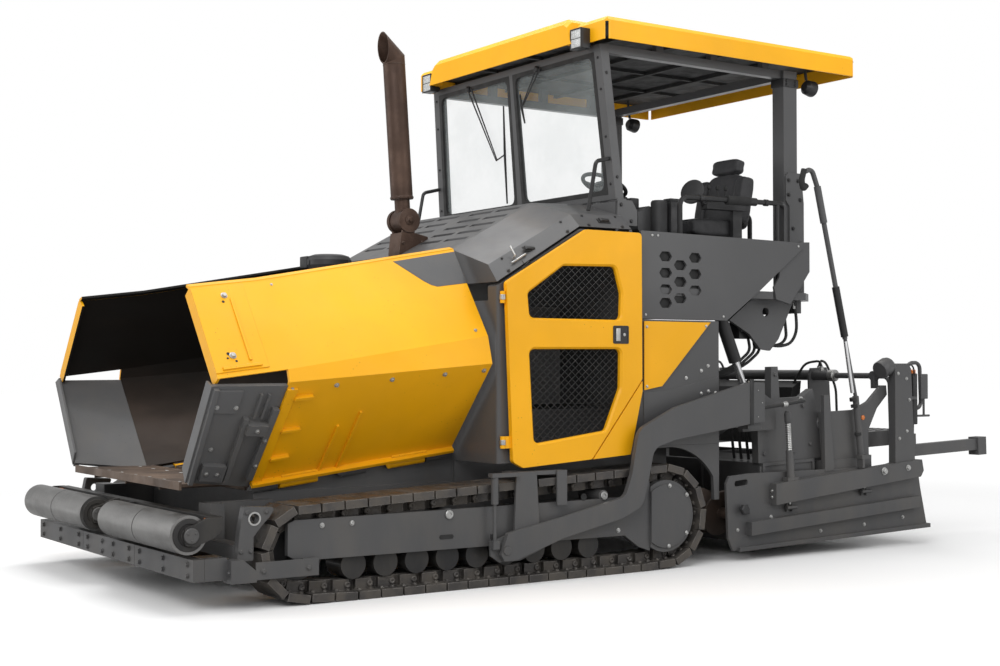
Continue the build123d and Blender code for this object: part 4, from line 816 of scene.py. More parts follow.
def shoe_frames():
    """A frame at each shoe's middle: Z outwards, Y along the chain."""
    inset = SHOE_THICK / 2
    rim = [(y + (radius - inset) * math.cos(math.radians(turn)),
            z + (radius - inset) * math.sin(math.radians(turn))) for y, z, radius in LOOP_WHEELS
           for turn in range(360)]
    loop = hull(rim)
    start = min(range(len(loop)), key=lambda k: abs(loop[k][0] - FLAT_REAR) + abs(loop[k][1] - inset))
    loop = loop[start:] + loop[:start]
    path = [Vector((0, FLAT_FRONT, inset)), Vector((0, FLAT_REAR, inset))]
    path += [Vector((0, y, z)) for y, z in loop if not (z < inset + 1e-4 and FLAT_FRONT <= y <= FLAT_REAR)]
    path.append(path[0])
    for run, count in ((path[:2], FLAT_SHOES), (path[1:], None)):
        lengths = [(b - a).length for a, b in zip(run, run[1:])]
        count = count or round(sum(lengths) / SHOE_PITCH)
        for step in range(count):
            rest = sum(lengths) * (step + 0.5) / count
            for a, b, length in zip(run, run[1:], lengths):
                if rest <= length:
                    break
                rest -= length
            ahead = (b - a).normalized()
            turn = Matrix((Vector(OUTWARD), ahead, Vector((0, ahead.z, -ahead.y)))).transposed()
            yield Matrix.Translation(a + ahead * rest) @ turn.to_4x4()


class PAVER_OT_crawlers(PaverOperator):
    """Link pins and shoe bolts of the crawlers, with the bolts and pins of the skirts over them, and dark
    plates that paint the shade in the skirts' slots
    """

    bl_idname = "paver.crawlers"
    bl_label = "Crawlers"

    def build(self, context):
        fixings, pins, caps, dark = shapes(4)
        pin = [(-0.004, 0.019), (0.007, 0.019), (0.011, 0.015), (0.011, 0.008), (0.006, 0.007)]
        for place in shoe_frames():
            for x in (1.035, 1.215):
                for y in (-0.034, 0.034):
                    fixings.bolt(place @ Vector((x, y, -SHOE_THICK / 2)), place.to_3x3() @ Vector((0, 0, -1)),
                                 0.011)
            for x, along in ((1.194, 1), (1.056, -1)):
                pins.lathe(pin, place @ Vector((x, SHOE_PITCH * 0.28, -0.052)), (along, 0, 0), 12)
        fixings.finish_pair("shoe_bolts", "track", ROOT)
        pins.finish_pair("track_pins", "track", ROOT)
        caps.side_bolts(DRIVE_FACE, ((0.003, 0.514), (-0.006, 0.142), (0.142, 0.452), (0.138, 0.215)), 0.010)
        for y, z in ((-1.603, 0.424), (-0.502, 0.476)):
            caps.lathe([(0, 0.026), (0.007, 0.026), (0.010, 0.026 * 0.85), (0.010, 0.013),
                        (0.004, 0.026 * 0.45)], (SKIRT_PIN_FACE, y, z), OUTWARD, 24)
        caps.side_bolts(SKIRT_FACE, ((-2.40, 0.41), (-2.22, 0.412), (-0.41, 0.43), (-0.39, 0.26)), 0.011)
        caps.finish_pair("undercarriage_bolts", "zinc", ROOT)
        # A dark plate and a dark ring on the skirt stand for openings in it: painted shade, with no hole cut.
        slot = [(-0.04, -0.012), (0.04, -0.012), (0.048, 0), (0.04, 0.012), (-0.04, 0.012), (-0.048, 0)]
        place = facing_frame((1.2495, -1.62, 0.30), OUTWARD)
        dark.join([[place @ Vector((x, y, height)) for x, y in slot] for height in (0, 0.003)])
        dark.lathe([(0, 0.021), (0.003, 0.021), (0.003, 0.012), (0.001, 0.011)],
                   (SKIRT_PIN_FACE, -0.654, 0.475), OUTWARD, 20)
        dark.finish_pair("skirt_slot_shade", "rubber", ROOT)


# --- the front ---

ROLLER_AXIS = Vector((0, -3.135, 0.4))
TOW_HOLE = Vector((1.2402, -2.786, 0.466))


class PAVER_OT_front(PaverOperator):
    """Push roller ends and pin plates, bumper bolts, reflectors and the tow hole's wear ring"""

    bl_idname = "paver.front"
    bl_label = "Front"

    def build(self, context):
        for side, sign in SIDES:
            ends = Shape()
            for x, out in ((0.147, -1), (1.215, 1)):
                ends.lathe([(0, 0.085), (0.004, 0.083), (0.006, 0.060), (0.002, 0.056), (0.002, 0.040),
                            (0.004, 0.038)], ROLLER_AXIS + Vector((sign * x, 0, 0)), (sign * out, 0, 0), 32)
            ends.finish(f"roller_end_{side}", "black", f"push_roller_{side}")
        pins, bolts, ring, glass = shapes(4)
        for x, out in ((1.246, 1), (0.116, -1)):
            pins.lathe([(0, 0.040), (0.010, 0.040), (0.013, 0.036)], ROLLER_AXIS + Vector((x, 0, 0)),
                       (out, 0, 0), 24)
            for y, z in circle(3, 0.024, 0.5):
                pins.bolt(ROLLER_AXIS + Vector((x + out * 0.011, y, z)), (out, 0, 0), 0.006, False)
        pins.finish_pair("roller_pin_plates", "grey", PUSH_BEAM)
        for x in (0.09, 0.34, 0.50, 0.84, 1.17):
            for z in (0.19, 0.248):
                bolts.bolt((x, -3.122, z), FORWARD, 0.012)
        bolts.bolt((1.27, -2.938, 0.2), FORWARD, 0.011)
        bolts.side_bolts(1.294, ((-2.76, 0.2), (-2.50, 0.2)), 0.012)
        bolts.side_bolts(1.240, ((-2.862, 0.30), (-2.806, 0.30), (-2.83, 0.50), (-2.72, 0.50)), 0.010)
        bolts.finish_pair("bumper_bolts", "grey", ROOT)
        rims = [[TOW_HOLE + Vector((0, y, z)) for y, z in circle(32, radius)] for radius in (0.036, 0.027)]
        ring.ring(*rims, Vector((0.003, 0, 0)))
        ring.finish_pair("tow_hole_rings", "zinc", ROOT)
        glass.box((1.13, -3.018, 0.440), (1.20, -3.0105, 0.475), 0.002)
        glass.finish_pair("front_reflectors", "amber_lens_painted_glow", PUSH_BEAM)


# --- hopper ---

CORNER_PANEL = ((-1.728, 0.968), (-1.291, 0.968), (-1.291, 0.60), (-1.498, 0.612), (-1.535, 0.640),
                (-1.575, 0.695))
# Fittings on the wing's front reach stand off its facet by this much.
REACH_RISE = 0.005
FLAP_BOLTS = ((-2.975, 0.80, 0.012), (-2.865, 0.80, 0.012), (-2.93, 0.36, 0.0), (-2.86, 0.14, 0.03),
              (-2.93, 0.14, 0.03), (-2.63, 0.25, 0.03), (-2.63, 0.5, 0.03), (-2.71, 0.61, 0.044))


class PAVER_OT_hopper(PaverOperator):
    """Grey corner panels and bolts of the hopper wings, flaps and apron, and dark discs that paint the shade
    in the wings' holes
    """

    bl_idname = "paver.hopper"
    bl_label = "Hopper"

    def build(self, context):
        panel, steel, dark, flap, lip, heads = shapes(6)
        panel.join([[UPPER_WING.at(y, up, rise) for y, up in CORNER_PANEL] for rise in (-0.001, 0.0012)])
        panel.finish_pair("wing_corner_panel", "grey", WINGS)
        for facet, y, up, rise, size in ((REACH_WING, -2.826, 0.862, REACH_RISE, 0.014),
                                         (REACH_WING, -2.884, 0.21, REACH_RISE, 0.015),
                                         (UPPER_WING, -2.53, 0.931, 0, 0.006), (UPPER_WING, -1.36, 0.08, 0,
                                                                                0.008)):
            steel.bolt(facet.at(y, up, rise), facet.out(y), size)
        for y in (-2.57, -2.30, -1.95, -1.60, -1.33):
            steel.bolt(LOWER_WING.at(y, 0.93), LOWER_WING.out(y), 0.011)
        steel.finish_pair("wing_bolts", "zinc", WINGS)
        # Dark discs on the wing's reach stand for holes: painted shade, with no hole cut.
        for y, up, size in ((-2.841, 0.796, 0.008), (-2.905, 0.235, 0.010), (-2.872, 0.150, 0.007),
                            (-2.915, 0.190, 0.006)):
            dark.lathe([(0, size), (0.0015, size), (0.0015, size * 0.5), (0.0005, size * 0.4)],
                       REACH_WING.at(y, up, REACH_RISE), REACH_WING.out(y), 16)
        dark.finish_pair("wing_hole_shade", "rubber", WINGS)
        for y, up, rise in FLAP_BOLTS:
            flap.bolt(FLAP.at(y, up, rise), FLAP.out(y), 0.010)
        flap.finish_pair("flap_bolts", "zinc", WINGS)
        # Rubber lip along the flap's foot.
        lip.tube([FLAP.at(-3.010 + 0.40 * k / 8, 0.012, -0.012) for k in range(9)], 0.009, 8)
        lip.finish_pair("flap_lips", "rubber", WINGS)
        # Countersunk heads in the apron.
        for x in (-0.66, -0.44, -0.22, 0, 0.22, 0.44, 0.66):
            for y in (-2.96, -2.68):
                heads.lathe([(0, 0.013), (0.0015, 0.012), (0.002, 0.006), (0.0008, 0.004)], (x, y, 0.628), UP,
                            14)
        heads.finish("apron_screws", "zinc", "apron")


# --- body and doors ---

DOOR_FACE, DOOR_HINGE = 1.2505, (1.226, -1.222)


class PAVER_OT_body(PaverOperator):
    """Door catches and hinges, hood catches and the body's bolts"""

    bl_idname = "paver.body"
    bl_label = "Body"

    def build(self, context):
        self.door_catch()
        self.hood_fittings()
        bolts, hole_shade = shapes(2)
        bolts.side_bolts(1.2, ((0.33, 1.227), (0.387, 1.258), (0.202, 1.181)), 0.009)
        bolts.side_bolts(1.206, ((0.324, 1.082), (0.385, 1.095), (0.445, 1.085)), 0.009)
        bolts.side_bolts(1.2135, ((-0.13, 1.50), (-0.13, 1.13), (0.36, 1.51)), 0.007)
        for y, z in ((-0.076, 2.072), (-0.029, 2.072), (1.20, 2.060), (-0.13, 1.575), (0.52, 1.575)):
            bolts.rivet((1.2025, y, z), OUTWARD, 0.009)
        bolts.finish_pair("body_bolts", "zinc", ROOT)
        # Dark sheet behind the hexagonal holes, standing for the shade inside the body: painted shade.
        hole_shade.box((1.176, -0.06, 1.60), (1.179, 0.37, 2.02), 0)
        hole_shade.finish_pair("side_panel_hole_shade", "rubber", ROOT)

    @staticmethod
    def door_catch():
        """Flush catch in its tray below the upper window, and the hinge's sleeves."""
        tray, handle, hinges = shapes(3)
        rims = []
        for y0, y1, z0, z1, radius in ((-0.427, -0.306, 1.392, 1.502, 0.012), (-0.419, -0.314, 1.400, 1.494,
                                                                               0.010)):
            corners = [(DOOR_FACE, y, z) for y, z in ((y0, z0), (y1, z0), (y1, z1), (y0, z1))]
            rims.append(rounded_loop(corners, radius))
        tray.ring(*rims, Vector((0.003, 0, 0)))
        tray.box((1.249, -0.42, 1.399), (1.2512, -0.313, 1.495), 0)
        tray.finish_pair("door_catch_trays", "plastic", DOORS)
        handle.box((1.2512, -0.405, 1.408), (1.2545, -0.372, 1.486), 0.0012)
        handle.lathe([(0, 0.010), (0.003, 0.010), (0.004, 0.005)], (1.2512, -0.340, 1.447), OUTWARD, 16)
        handle.finish_pair("door_catches", "zinc", DOORS)
        for z in (0.80, 1.64):
            hinges.lathe([(0, 0.017), (0.002, 0.0185), (0.028, 0.0185), (0.03, 0.017)], (*DOOR_HINGE, z), UP,
                         18)
        hinges.finish_pair("door_hinge_sleeves", "zinc", DOORS)

    @staticmethod
    def hood_fittings():
        """Over-centre catches and bolts along the hood's shoulders, and a bent stay."""
        metal, bright = shapes(2)
        for y in (-0.98, -0.42):
            facet = HOOD_SIDE if y < HOOD_BEND else HOOD_REAR
            seat = facing_frame(facet.at(y, 0.5), facet.out(y), REARWARD)
            metal.box((-0.018, -0.045, 0.0), (0.018, 0.045, 0.006), 0.001, seat)
            metal.box((-0.010, -0.030, 0.006), (0.010, 0.035, 0.018), 0.003, seat)
            metal.lathe([(0, 0.007), (0.03, 0.007)], seat @ Vector((-0.015, -0.03, 0.012)),
                        seat.to_3x3() @ Vector(OUTWARD), 12)
        for y in (-1.15, -0.72, -0.56, -0.30):
            facet = HOOD_SIDE if y < HOOD_BEND else HOOD_REAR
            metal.bolt(facet.at(y, 0.14), facet.out(y), 0.009)
            metal.bolt(facet.at(y, 0.88), facet.out(y), 0.007)
        metal.finish_pair("hood_catches", "black", ROOT)
        base = HOOD_SIDE.at(-1.09, 0.55)
        top = Vector((base.x - 0.008, -1.105, base.z + 0.075))
        bright.hose([base, (base.x + 0.02, -1.09, base.z + 0.02), top], 0.01, 0.006, 8, 5)
        bright.tube([HOOD_SIDE.at(-1.12, 0.35, 0.012), HOOD_SIDE.at(-1.02, 0.35, 0.012)], 0.006, 8)
        bright.finish_pair("hood_stays", "zinc", ROOT)


# --- cab ---

REAR_LAMP_AIM = (0, 1, -0.15)
POST_BOLTS = ((1.29, 2.43), (1.29, 2.53), (1.38, 2.53), (1.40, 2.40), (1.33, 2.20), (1.40, 2.10),
              (1.40, 1.86), (1.33, 1.80))


class PAVER_OT_glazing(PaverOperator):
    """Gaskets, wipers and screws of the windscreen frame"""

    bl_idname = "paver.glazing"
    bl_label = "Glazing"

    def build(self, context):
        gaskets, screws = shapes(2)
        outer = [(0.030, 0.036), (0.969, 0.036), (0.922, 0.940), (0.020, 0.940)]
        inner = [(0.058, 0.066), (0.938, 0.066), (0.893, 0.912), (0.048, 0.912)]
        for sign in BOTH:
            rims = [rounded_loop([screen(sign * x, up, 0.002) for x, up in line], radius) for line,
                    radius in ((outer, 0.004), (inner, 0.055))]
            gaskets.ring(*rims, -SCREEN_OUT * 0.030)
            for up in (0.10, 0.40, 0.70, 0.90):
                screws.bolt(screen(sign * (1.005 - 0.05 * up / 0.983), up), SCREEN_OUT, 0.007)
            for up in (0.14, 0.80):
                screws.bolt(screen(sign * (1.040 - 0.05 * up / 0.983), up, -0.03), (sign, 0, 0), 0.008)
            screws.side_bolts(sign * 1.0502, ((-0.20, 2.17), (-0.12, 2.17), (-0.20, 2.27)), 0.010)
        gaskets.finish("windscreen_gaskets", "rubber", "root")
        screws.finish("windscreen_screws", "black", "root")
        self.wipers()

    @staticmethod
    def wipers():
        """Two wipers, each with a double arm from its pivot to a knee, and a bowed blade."""
        arms, blades = shapes(2)
        for pivot, knee, top, bottom in (((-0.52, 0.925), (-0.237, 0.386), (-0.125, 0.75), (-0.165, 0.08)),
                                         ((0.316, 0.930), (0.120, 0.720), (0.080, 0.80), (0.112, 0.60))):
            arms.lathe([(-0.02, 0.022), (0.014, 0.022), (0.020, 0.014)], screen(*pivot, 0.004), SCREEN_OUT,
                       18)
            for shift in (0.0, 0.045):
                arms.tube([screen(pivot[0] + shift, pivot[1], 0.014), screen(knee[0] + shift * 0.3, knee[1],
                                                                             0.006)], [0.006, 0.004], 8)
            middle = ((top[0] + bottom[0]) / 2, (top[1] + bottom[1]) / 2)
            arms.tube([screen(*knee, 0.006), screen(*middle, -0.002)], 0.005, 8)
            blades.tube([screen(*top, -0.009), screen(*middle, -0.004), screen(*bottom, -0.009)],
                        [0.004, 0.007, 0.004], 8)
            blades.tube([screen(*top, -0.0135), screen(*bottom, -0.0135)], 0.003, 6)
        arms.finish("wiper_arms", "black", "root")
        blades.finish("wiper_blades", "rubber", "root")


class PAVER_OT_lamps(PaverOperator):
    """Work lamps, and the clamps and bolts of the canopy's rear posts"""

    bl_idname = "paver.lamps"
    bl_label = "Lamps"

    def build(self, context):
        cases, lenses, frames, clamps = shapes(4)
        for sign in BOTH:
            x0, x1 = sorted((sign * 0.838, sign * 0.955))
            cases.box((x0, -0.436, 3.248), (x1, -0.368, 3.378), 0.008)
            cases.box((x0 + 0.03, -0.40, 3.264), (x1 - 0.03, -0.34, 3.290), 0.003)
            rims = [[(left, -0.437, foot), (right, -0.437, foot), (right, -0.437, head), (left, -0.437, head)]
                    for left, right, foot, head in ((x0, x1, 3.248, 3.378), (x0 + 0.009, x1 - 0.009, 3.257,
                                                                             3.369))]
            frames.ring(*rims, Vector((0, -0.005, 0)))
            for low, high in ((3.258, 3.311), (3.315, 3.368)):
                lenses.box((x0 + 0.010, -0.4405, low), (x1 - 0.010, -0.436, high), 0.002)
        # Round lamps look rearwards behind the rear posts.
        for sign in BOTH:
            x = sign * 0.97
            spot = Vector((x, 1.50, 3.205))
            cases.lathe([(0, 0.030), (0.02, 0.050), (0.075, 0.056), (0.085, 0.054)], spot, REAR_LAMP_AIM, 24)
            lenses.lathe([(0.084, 0.050), (0.088, 0.046), (0.090, 0.030)], spot, REAR_LAMP_AIM, 24)
            cases.tube([(x, 1.52, 3.25), (x, 1.50, 3.39)], 0.010, 8)
        cases.finish("lamp_cases", "black", "root")
        frames.finish("lamp_rims", "plastic", "root")
        lenses.finish("lamp_lenses", "clear_lens", "root")
        for sign in BOTH:
            low, high = sorted((sign * 0.896, sign * 1.018))
            clamps.box((low, 1.252, 3.175), (high, 1.394, 3.232), 0.003)
            clamps.side_bolts(sign * 1.018, ((1.28, 3.19), (1.366, 3.19), (1.28, 3.215), (1.366, 3.215)),
                              0.009)
            clamps.side_bolts(sign * 1.0245, POST_BOLTS, 0.011)
        clamps.finish("post_clamps", "black", "root")


# Each pad of a seat: its middle, with x from the seat's middle line, half its size, and whether it leans.
SEAT_PADS = (("cushion", (0, 0.742, 2.178), (0.205, 0.222, 0.056), False),
             ("bolster_inner", (-0.19, 0.742, 2.186), (0.044, 0.215, 0.058), False),
             ("bolster_outer", (0.19, 0.742, 2.186), (0.044, 0.215, 0.058), False),
             ("back", (0, 1.020, 2.405), (0.175, 0.045, 0.175), True),
             ("back_wing_inner", (-0.185, 1.008, 2.390), (0.048, 0.058, 0.160), True),
             ("back_wing_outer", (0.185, 1.008, 2.390), (0.048, 0.058, 0.160), True),
             ("headrest", (0, 1.052, 2.632), (0.134, 0.044, 0.052), True))
SEAT_LEAN = math.radians(-11)


class PAVER_OT_seats(PaverOperator):
    """Upholstered seats with piping, back shells and headrest stems"""

    bl_idname = "paver.seats"
    bl_label = "Seats"

    def build(self, context):
        lean = Matrix.Rotation(SEAT_LEAN, 3, "X")
        piping = Shape()
        for side, sign in SIDES:
            x = sign * 0.68
            for part, (shift, y, z), half, leans in SEAT_PADS:
                pad = Shape()
                pad.pillow(Vector((x + shift, y, z)), half, lean if leans else Matrix.Identity(3))
                pad.finish(f"seat_{side}_{part}", "vinyl", "root", 80)
            seam = [(x - 0.15, 0.560), (x + 0.15, 0.560), (x + 0.15, 0.93), (x - 0.15, 0.93)]
            piping.tube(rounded_loop([(*spot, 2.231) for spot in seam], 0.05), 0.003, 6, True)
            shell = Shape()
            shell.pillow(Vector((x, 1.062, 2.375)), (0.20, 0.022, 0.185), lean, 0.22)
            for left in (-0.05, 0.035):
                shell.box((x + left, 1.035, 2.53), (x + left + 0.015, 1.055, 2.60), 0.003)
            shell.finish(f"seat_shell_{side}", "plastic", "root", 60)
        piping.finish("seat_piping", "rubber", "root")
        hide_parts("seats")


WHEEL_HUB = Vector((0.6, 0.02, 2.45))
WHEEL_AXIS = Vector((0, math.sin(math.radians(25)), math.cos(math.radians(25))))


class PAVER_OT_controls(PaverOperator):
    """Steering wheel, consoles, levers, and the guard rails' grips and feet"""

    bl_idname = "paver.controls"
    bl_label = "Controls"

    def build(self, context):
        self.wheel()
        self.consoles()
        grips, cups = shapes(2)
        band = [(0, 0.020), (0.002, 0.023), (0.03, 0.023), (0.032, 0.020)]
        for sign in BOTH:
            x = sign * 1.105
            grips.lathe([(0, 0.026), (0.004, 0.030), (0.196, 0.030), (0.200, 0.026)], (x, 0.64, 2.3455),
                        (0, 1, 0.011), 20)
            for y in (0.237, 1.10):
                cups.lathe([(0, 0.034), (0.008, 0.034), (0.012, 0.024), (0.05, 0.022)], (x, y, 1.7505), UP,
                           20)
            for y, z in ((0.40, 2.3428), (0.98, 2.349)):
                cups.lathe(band, (x, y, z), (0, 1, 0.01), 16)
        grips.finish("rail_grips", "foam", "root")
        cups.finish("rail_feet", "black", "root")

    @staticmethod
    def wheel():
        seat = facing_frame(WHEEL_HUB, WHEEL_AXIS, REARWARD)
        rim, core = shapes(2)
        rim.tube([seat @ Vector((x, y, 0)) for x, y in circle(48, 0.150)], 0.0135, 12, True)
        rim.finish("wheel_rim", "rubber", "steering_wheel")
        for turn in (90, 210, 330):
            angle = math.radians(turn)
            tip = Vector((0.146 * math.cos(angle), 0.146 * math.sin(angle), 0))
            knee = tip * 0.6 + Vector((0, 0, -0.010))
            core.tube([seat @ Vector((0, 0, -0.008)), seat @ knee, seat @ tip], [0.014, 0.010, 0.009], 10)
        core.lathe([(-0.016, 0.026), (-0.006, 0.034), (0.006, 0.034), (0.012, 0.028), (0.014, 0.012)],
                   WHEEL_HUB, WHEEL_AXIS, 28)
        piece = core.finish("wheel_hub", "plastic", "steering_wheel")
        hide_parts("steering_wheel")

    @staticmethod
    def consoles():
        """On each side a drum and box, a round mirror on its stalk, a display, keys and levers."""
        body, keys, knobs, glass = shapes(4)
        for sign in BOTH:
            x0, x1 = sorted((sign * 0.905, sign * 1.0))
            body.lathe([(0, 0.050), (0.006, 0.054), (0.36, 0.054), (0.372, 0.046), (0.375, 0.02)],
                       (sign * 0.955, 0.19, 1.955), UP, 28)
            body.box((x0, 0.255, 1.96), (x1, 0.355, 2.325), 0.010)
            body.box((x0 + 0.01, 0.258, 2.325), (x1 - 0.01, 0.34, 2.345), 0.006)
            body.lathe([(0, 0.030), (0.004, 0.082), (0.016, 0.085), (0.022, 0.080), (0.028, 0.045)],
                       (sign * 0.95, 0.490, 2.40), (sign * 0.35, -0.85, 0.25), 32)
            stalk = [(sign * 0.95, 0.50, 2.40), (sign * 0.95, 0.56, 2.36), (sign * 0.93, 0.60, 2.30)]
            body.hose(stalk, 0.03, 0.012, 8, 5)
            middle = sign * 0.72
            glass.box((middle - 0.10, 0.052, 2.262), (middle + 0.10, 0.056, 2.335), 0.001)
            body.box((middle - 0.115, 0.056, 2.245), (middle + 0.115, 0.125, 2.35), 0.010)
            for k in range(6):
                x = sign * 0.49 + 0.028 * k
                keys.box((x - 0.011, 0.16, 2.288), (x + 0.011, 0.195, 2.299), 0.002)
            for k, lean in enumerate((-0.15, 0.0, 0.12)):
                foot = Vector((sign * 0.952, 0.64 + 0.06 * k, 2.338))
                tip = foot + Vector((0, lean * 0.1, 0.09))
                knobs.tube([foot, tip], 0.004, 8)
                knobs.lathe([(0, 0.006), (0.008, 0.012), (0.022, 0.013), (0.032, 0.007)], tip, (0, lean, 1),
                            14)
            knobs.lathe([(0, 0.020), (0.012, 0.016), (0.02, 0.010)], (sign * 0.952, 0.875, 2.352), UP, 18)
        body.finish("console_boxes", "plastic", "root")
        keys.finish("console_keys", "grey", "root")
        knobs.finish("console_knobs", "rubber", "root")
        glass.finish("console_screens", "screen", "root")


# --- under the platform ---


class PAVER_OT_hydraulics(PaverOperator):
    """Hoses, valve block and pump bolts under the platform's rear"""

    bl_idname = "paver.hydraulics"
    bl_label = "Hydraulics"

    def build(self, context):
        hoses, ends, blocks, bands = shapes(4)
        # The two long hoses on each side, as (distance out, y, z).
        runs = (((1.0, 1.252, 1.698), (1.0, 1.275, 1.56), (1.0, 1.288, 1.45), (1.0, 1.235, 1.405),
                 (1.0, 1.13, 1.392), (1.0, 1.068, 1.390)), ((1.03, 1.330, 1.698), (1.03, 1.352, 1.60),
                                                            (1.03, 1.356, 1.49), (1.03, 1.30, 1.41),
                                                            (1.03, 1.18, 1.388), (1.012, 1.068, 1.408)))
        for sign in BOTH:
            x = sign * 1.0
            for run in runs:
                points = [(sign * out, y, z) for out, y, z in run]
                hoses.hose(points, 0.05, 0.0105, 10)
                for spot, along, length in ((points[0], (0, 0, -1), 0.05), (points[-1], REARWARD, 0.04)):
                    ends.lathe([(0, 0.016), (0.018, 0.016), (0.020, 0.013), (length, 0.013)], spot, along, 6)
            # Short hoses from the pump down behind the tow arm.
            for k in range(3):
                y = 0.93 + 0.045 * k
                hoses.hose([(x, y, 1.44), (x, y + 0.02, 1.36), (sign * 0.97, y - 0.08, 1.27),
                            (sign * 0.92, y - 0.22, 1.20), (sign * 0.90, 0.50, 1.16)], 0.05, 0.010)
            blocks.box((sign * 0.96 - 0.05, 0.84, 1.44), (sign * 0.96 + 0.05, 1.03, 1.56), 0.006)
            for k in range(4):
                ends.lathe([(0, 0.014), (0.022, 0.014), (0.024, 0.010), (0.034, 0.010)],
                           (sign * 1.01, 0.865 + 0.045 * k, 1.50), (sign, 0, 0), 6)
            blocks.lathe([(0, 0.020), (0.03, 0.020), (0.032, 0.014), (0.05, 0.012)],
                         (sign * 1.03, 1.332, 1.70), (0, 0.3, -1), 14)
            for y, z in circle(6, 0.052):
                bands.bolt((sign * 1.0395 - sign * 0.1005, 1.11 + y, 1.49 + z), (-sign, 0, 0), 0.006, False)
        hoses.finish("platform_hoses", "rubber", "root")
        ends.finish("hose_fittings", "zinc", "root")
        blocks.finish("valve_blocks", "black", "root")
        bands.finish("pump_bolts", "zinc", "root")


# --- screed ---


class PAVER_OT_arms(PaverOperator):
    """Levelling rods along the tow arms, their clamps and the arms' bolts"""

    bl_idname = "paver.arms"
    bl_label = "Tow arms"

    def build(self, context):
        black, bright = shapes(2)
        # Clamp round the arm's rear end.
        black.box((1.3005, 0.628, 0.876), (1.3345, 0.662, 1.172), 0.004)
        for z in (0.89, 1.155):
            bright.bolt((1.3205, 0.6285, z), FORWARD, 0.006)
        bright.side_bolts(1.3312, ((0.70, 1.10), (0.70, 0.93), (0.735, 1.02)), 0.0035, False)
        # Levelling rod from the clamp back to the screed, with its bright collar and end.
        rod = [(1.317, 0.66, 0.975), (1.312, 0.90, 1.000), (1.300, 1.16, 1.028), (1.206, 1.20, 1.034)]
        black.hose(rod, 0.03, 0.011, 12, 5)
        bright.lathe([(0, 0.014), (0.004, 0.019), (0.034, 0.019), (0.038, 0.014)], (1.3105, 0.94, 1.004),
                     (0, 1, 0.1), 18)
        bright.lathe([(0, 0.020), (0.012, 0.020), (0.016, 0.015)], (1.209, 1.20, 1.034), OUTWARD, 18)
        # Lock plate on the tow pin.
        black.box((1.2805, -1.345, 0.27), (1.2945, -1.31, 0.30), 0.002)
        black.finish_pair("arm_clamps", "black", SCREED)
        bright.finish_pair("arm_bolts", "zinc", SCREED)


# Outer faces of the end plate, its post and its box beam.
PLATE_FACE, POST_FACE, BEAM_FACE = 1.2422, 1.2822, 1.3022
MAST_X = 1.244
MAST_TOP, MAST_KNEE = Vector((MAST_X, 1.400, 2.225)), Vector((MAST_X, 1.600, 1.442))
MAST_FOOT = Vector((MAST_X, 1.752, 0.640))


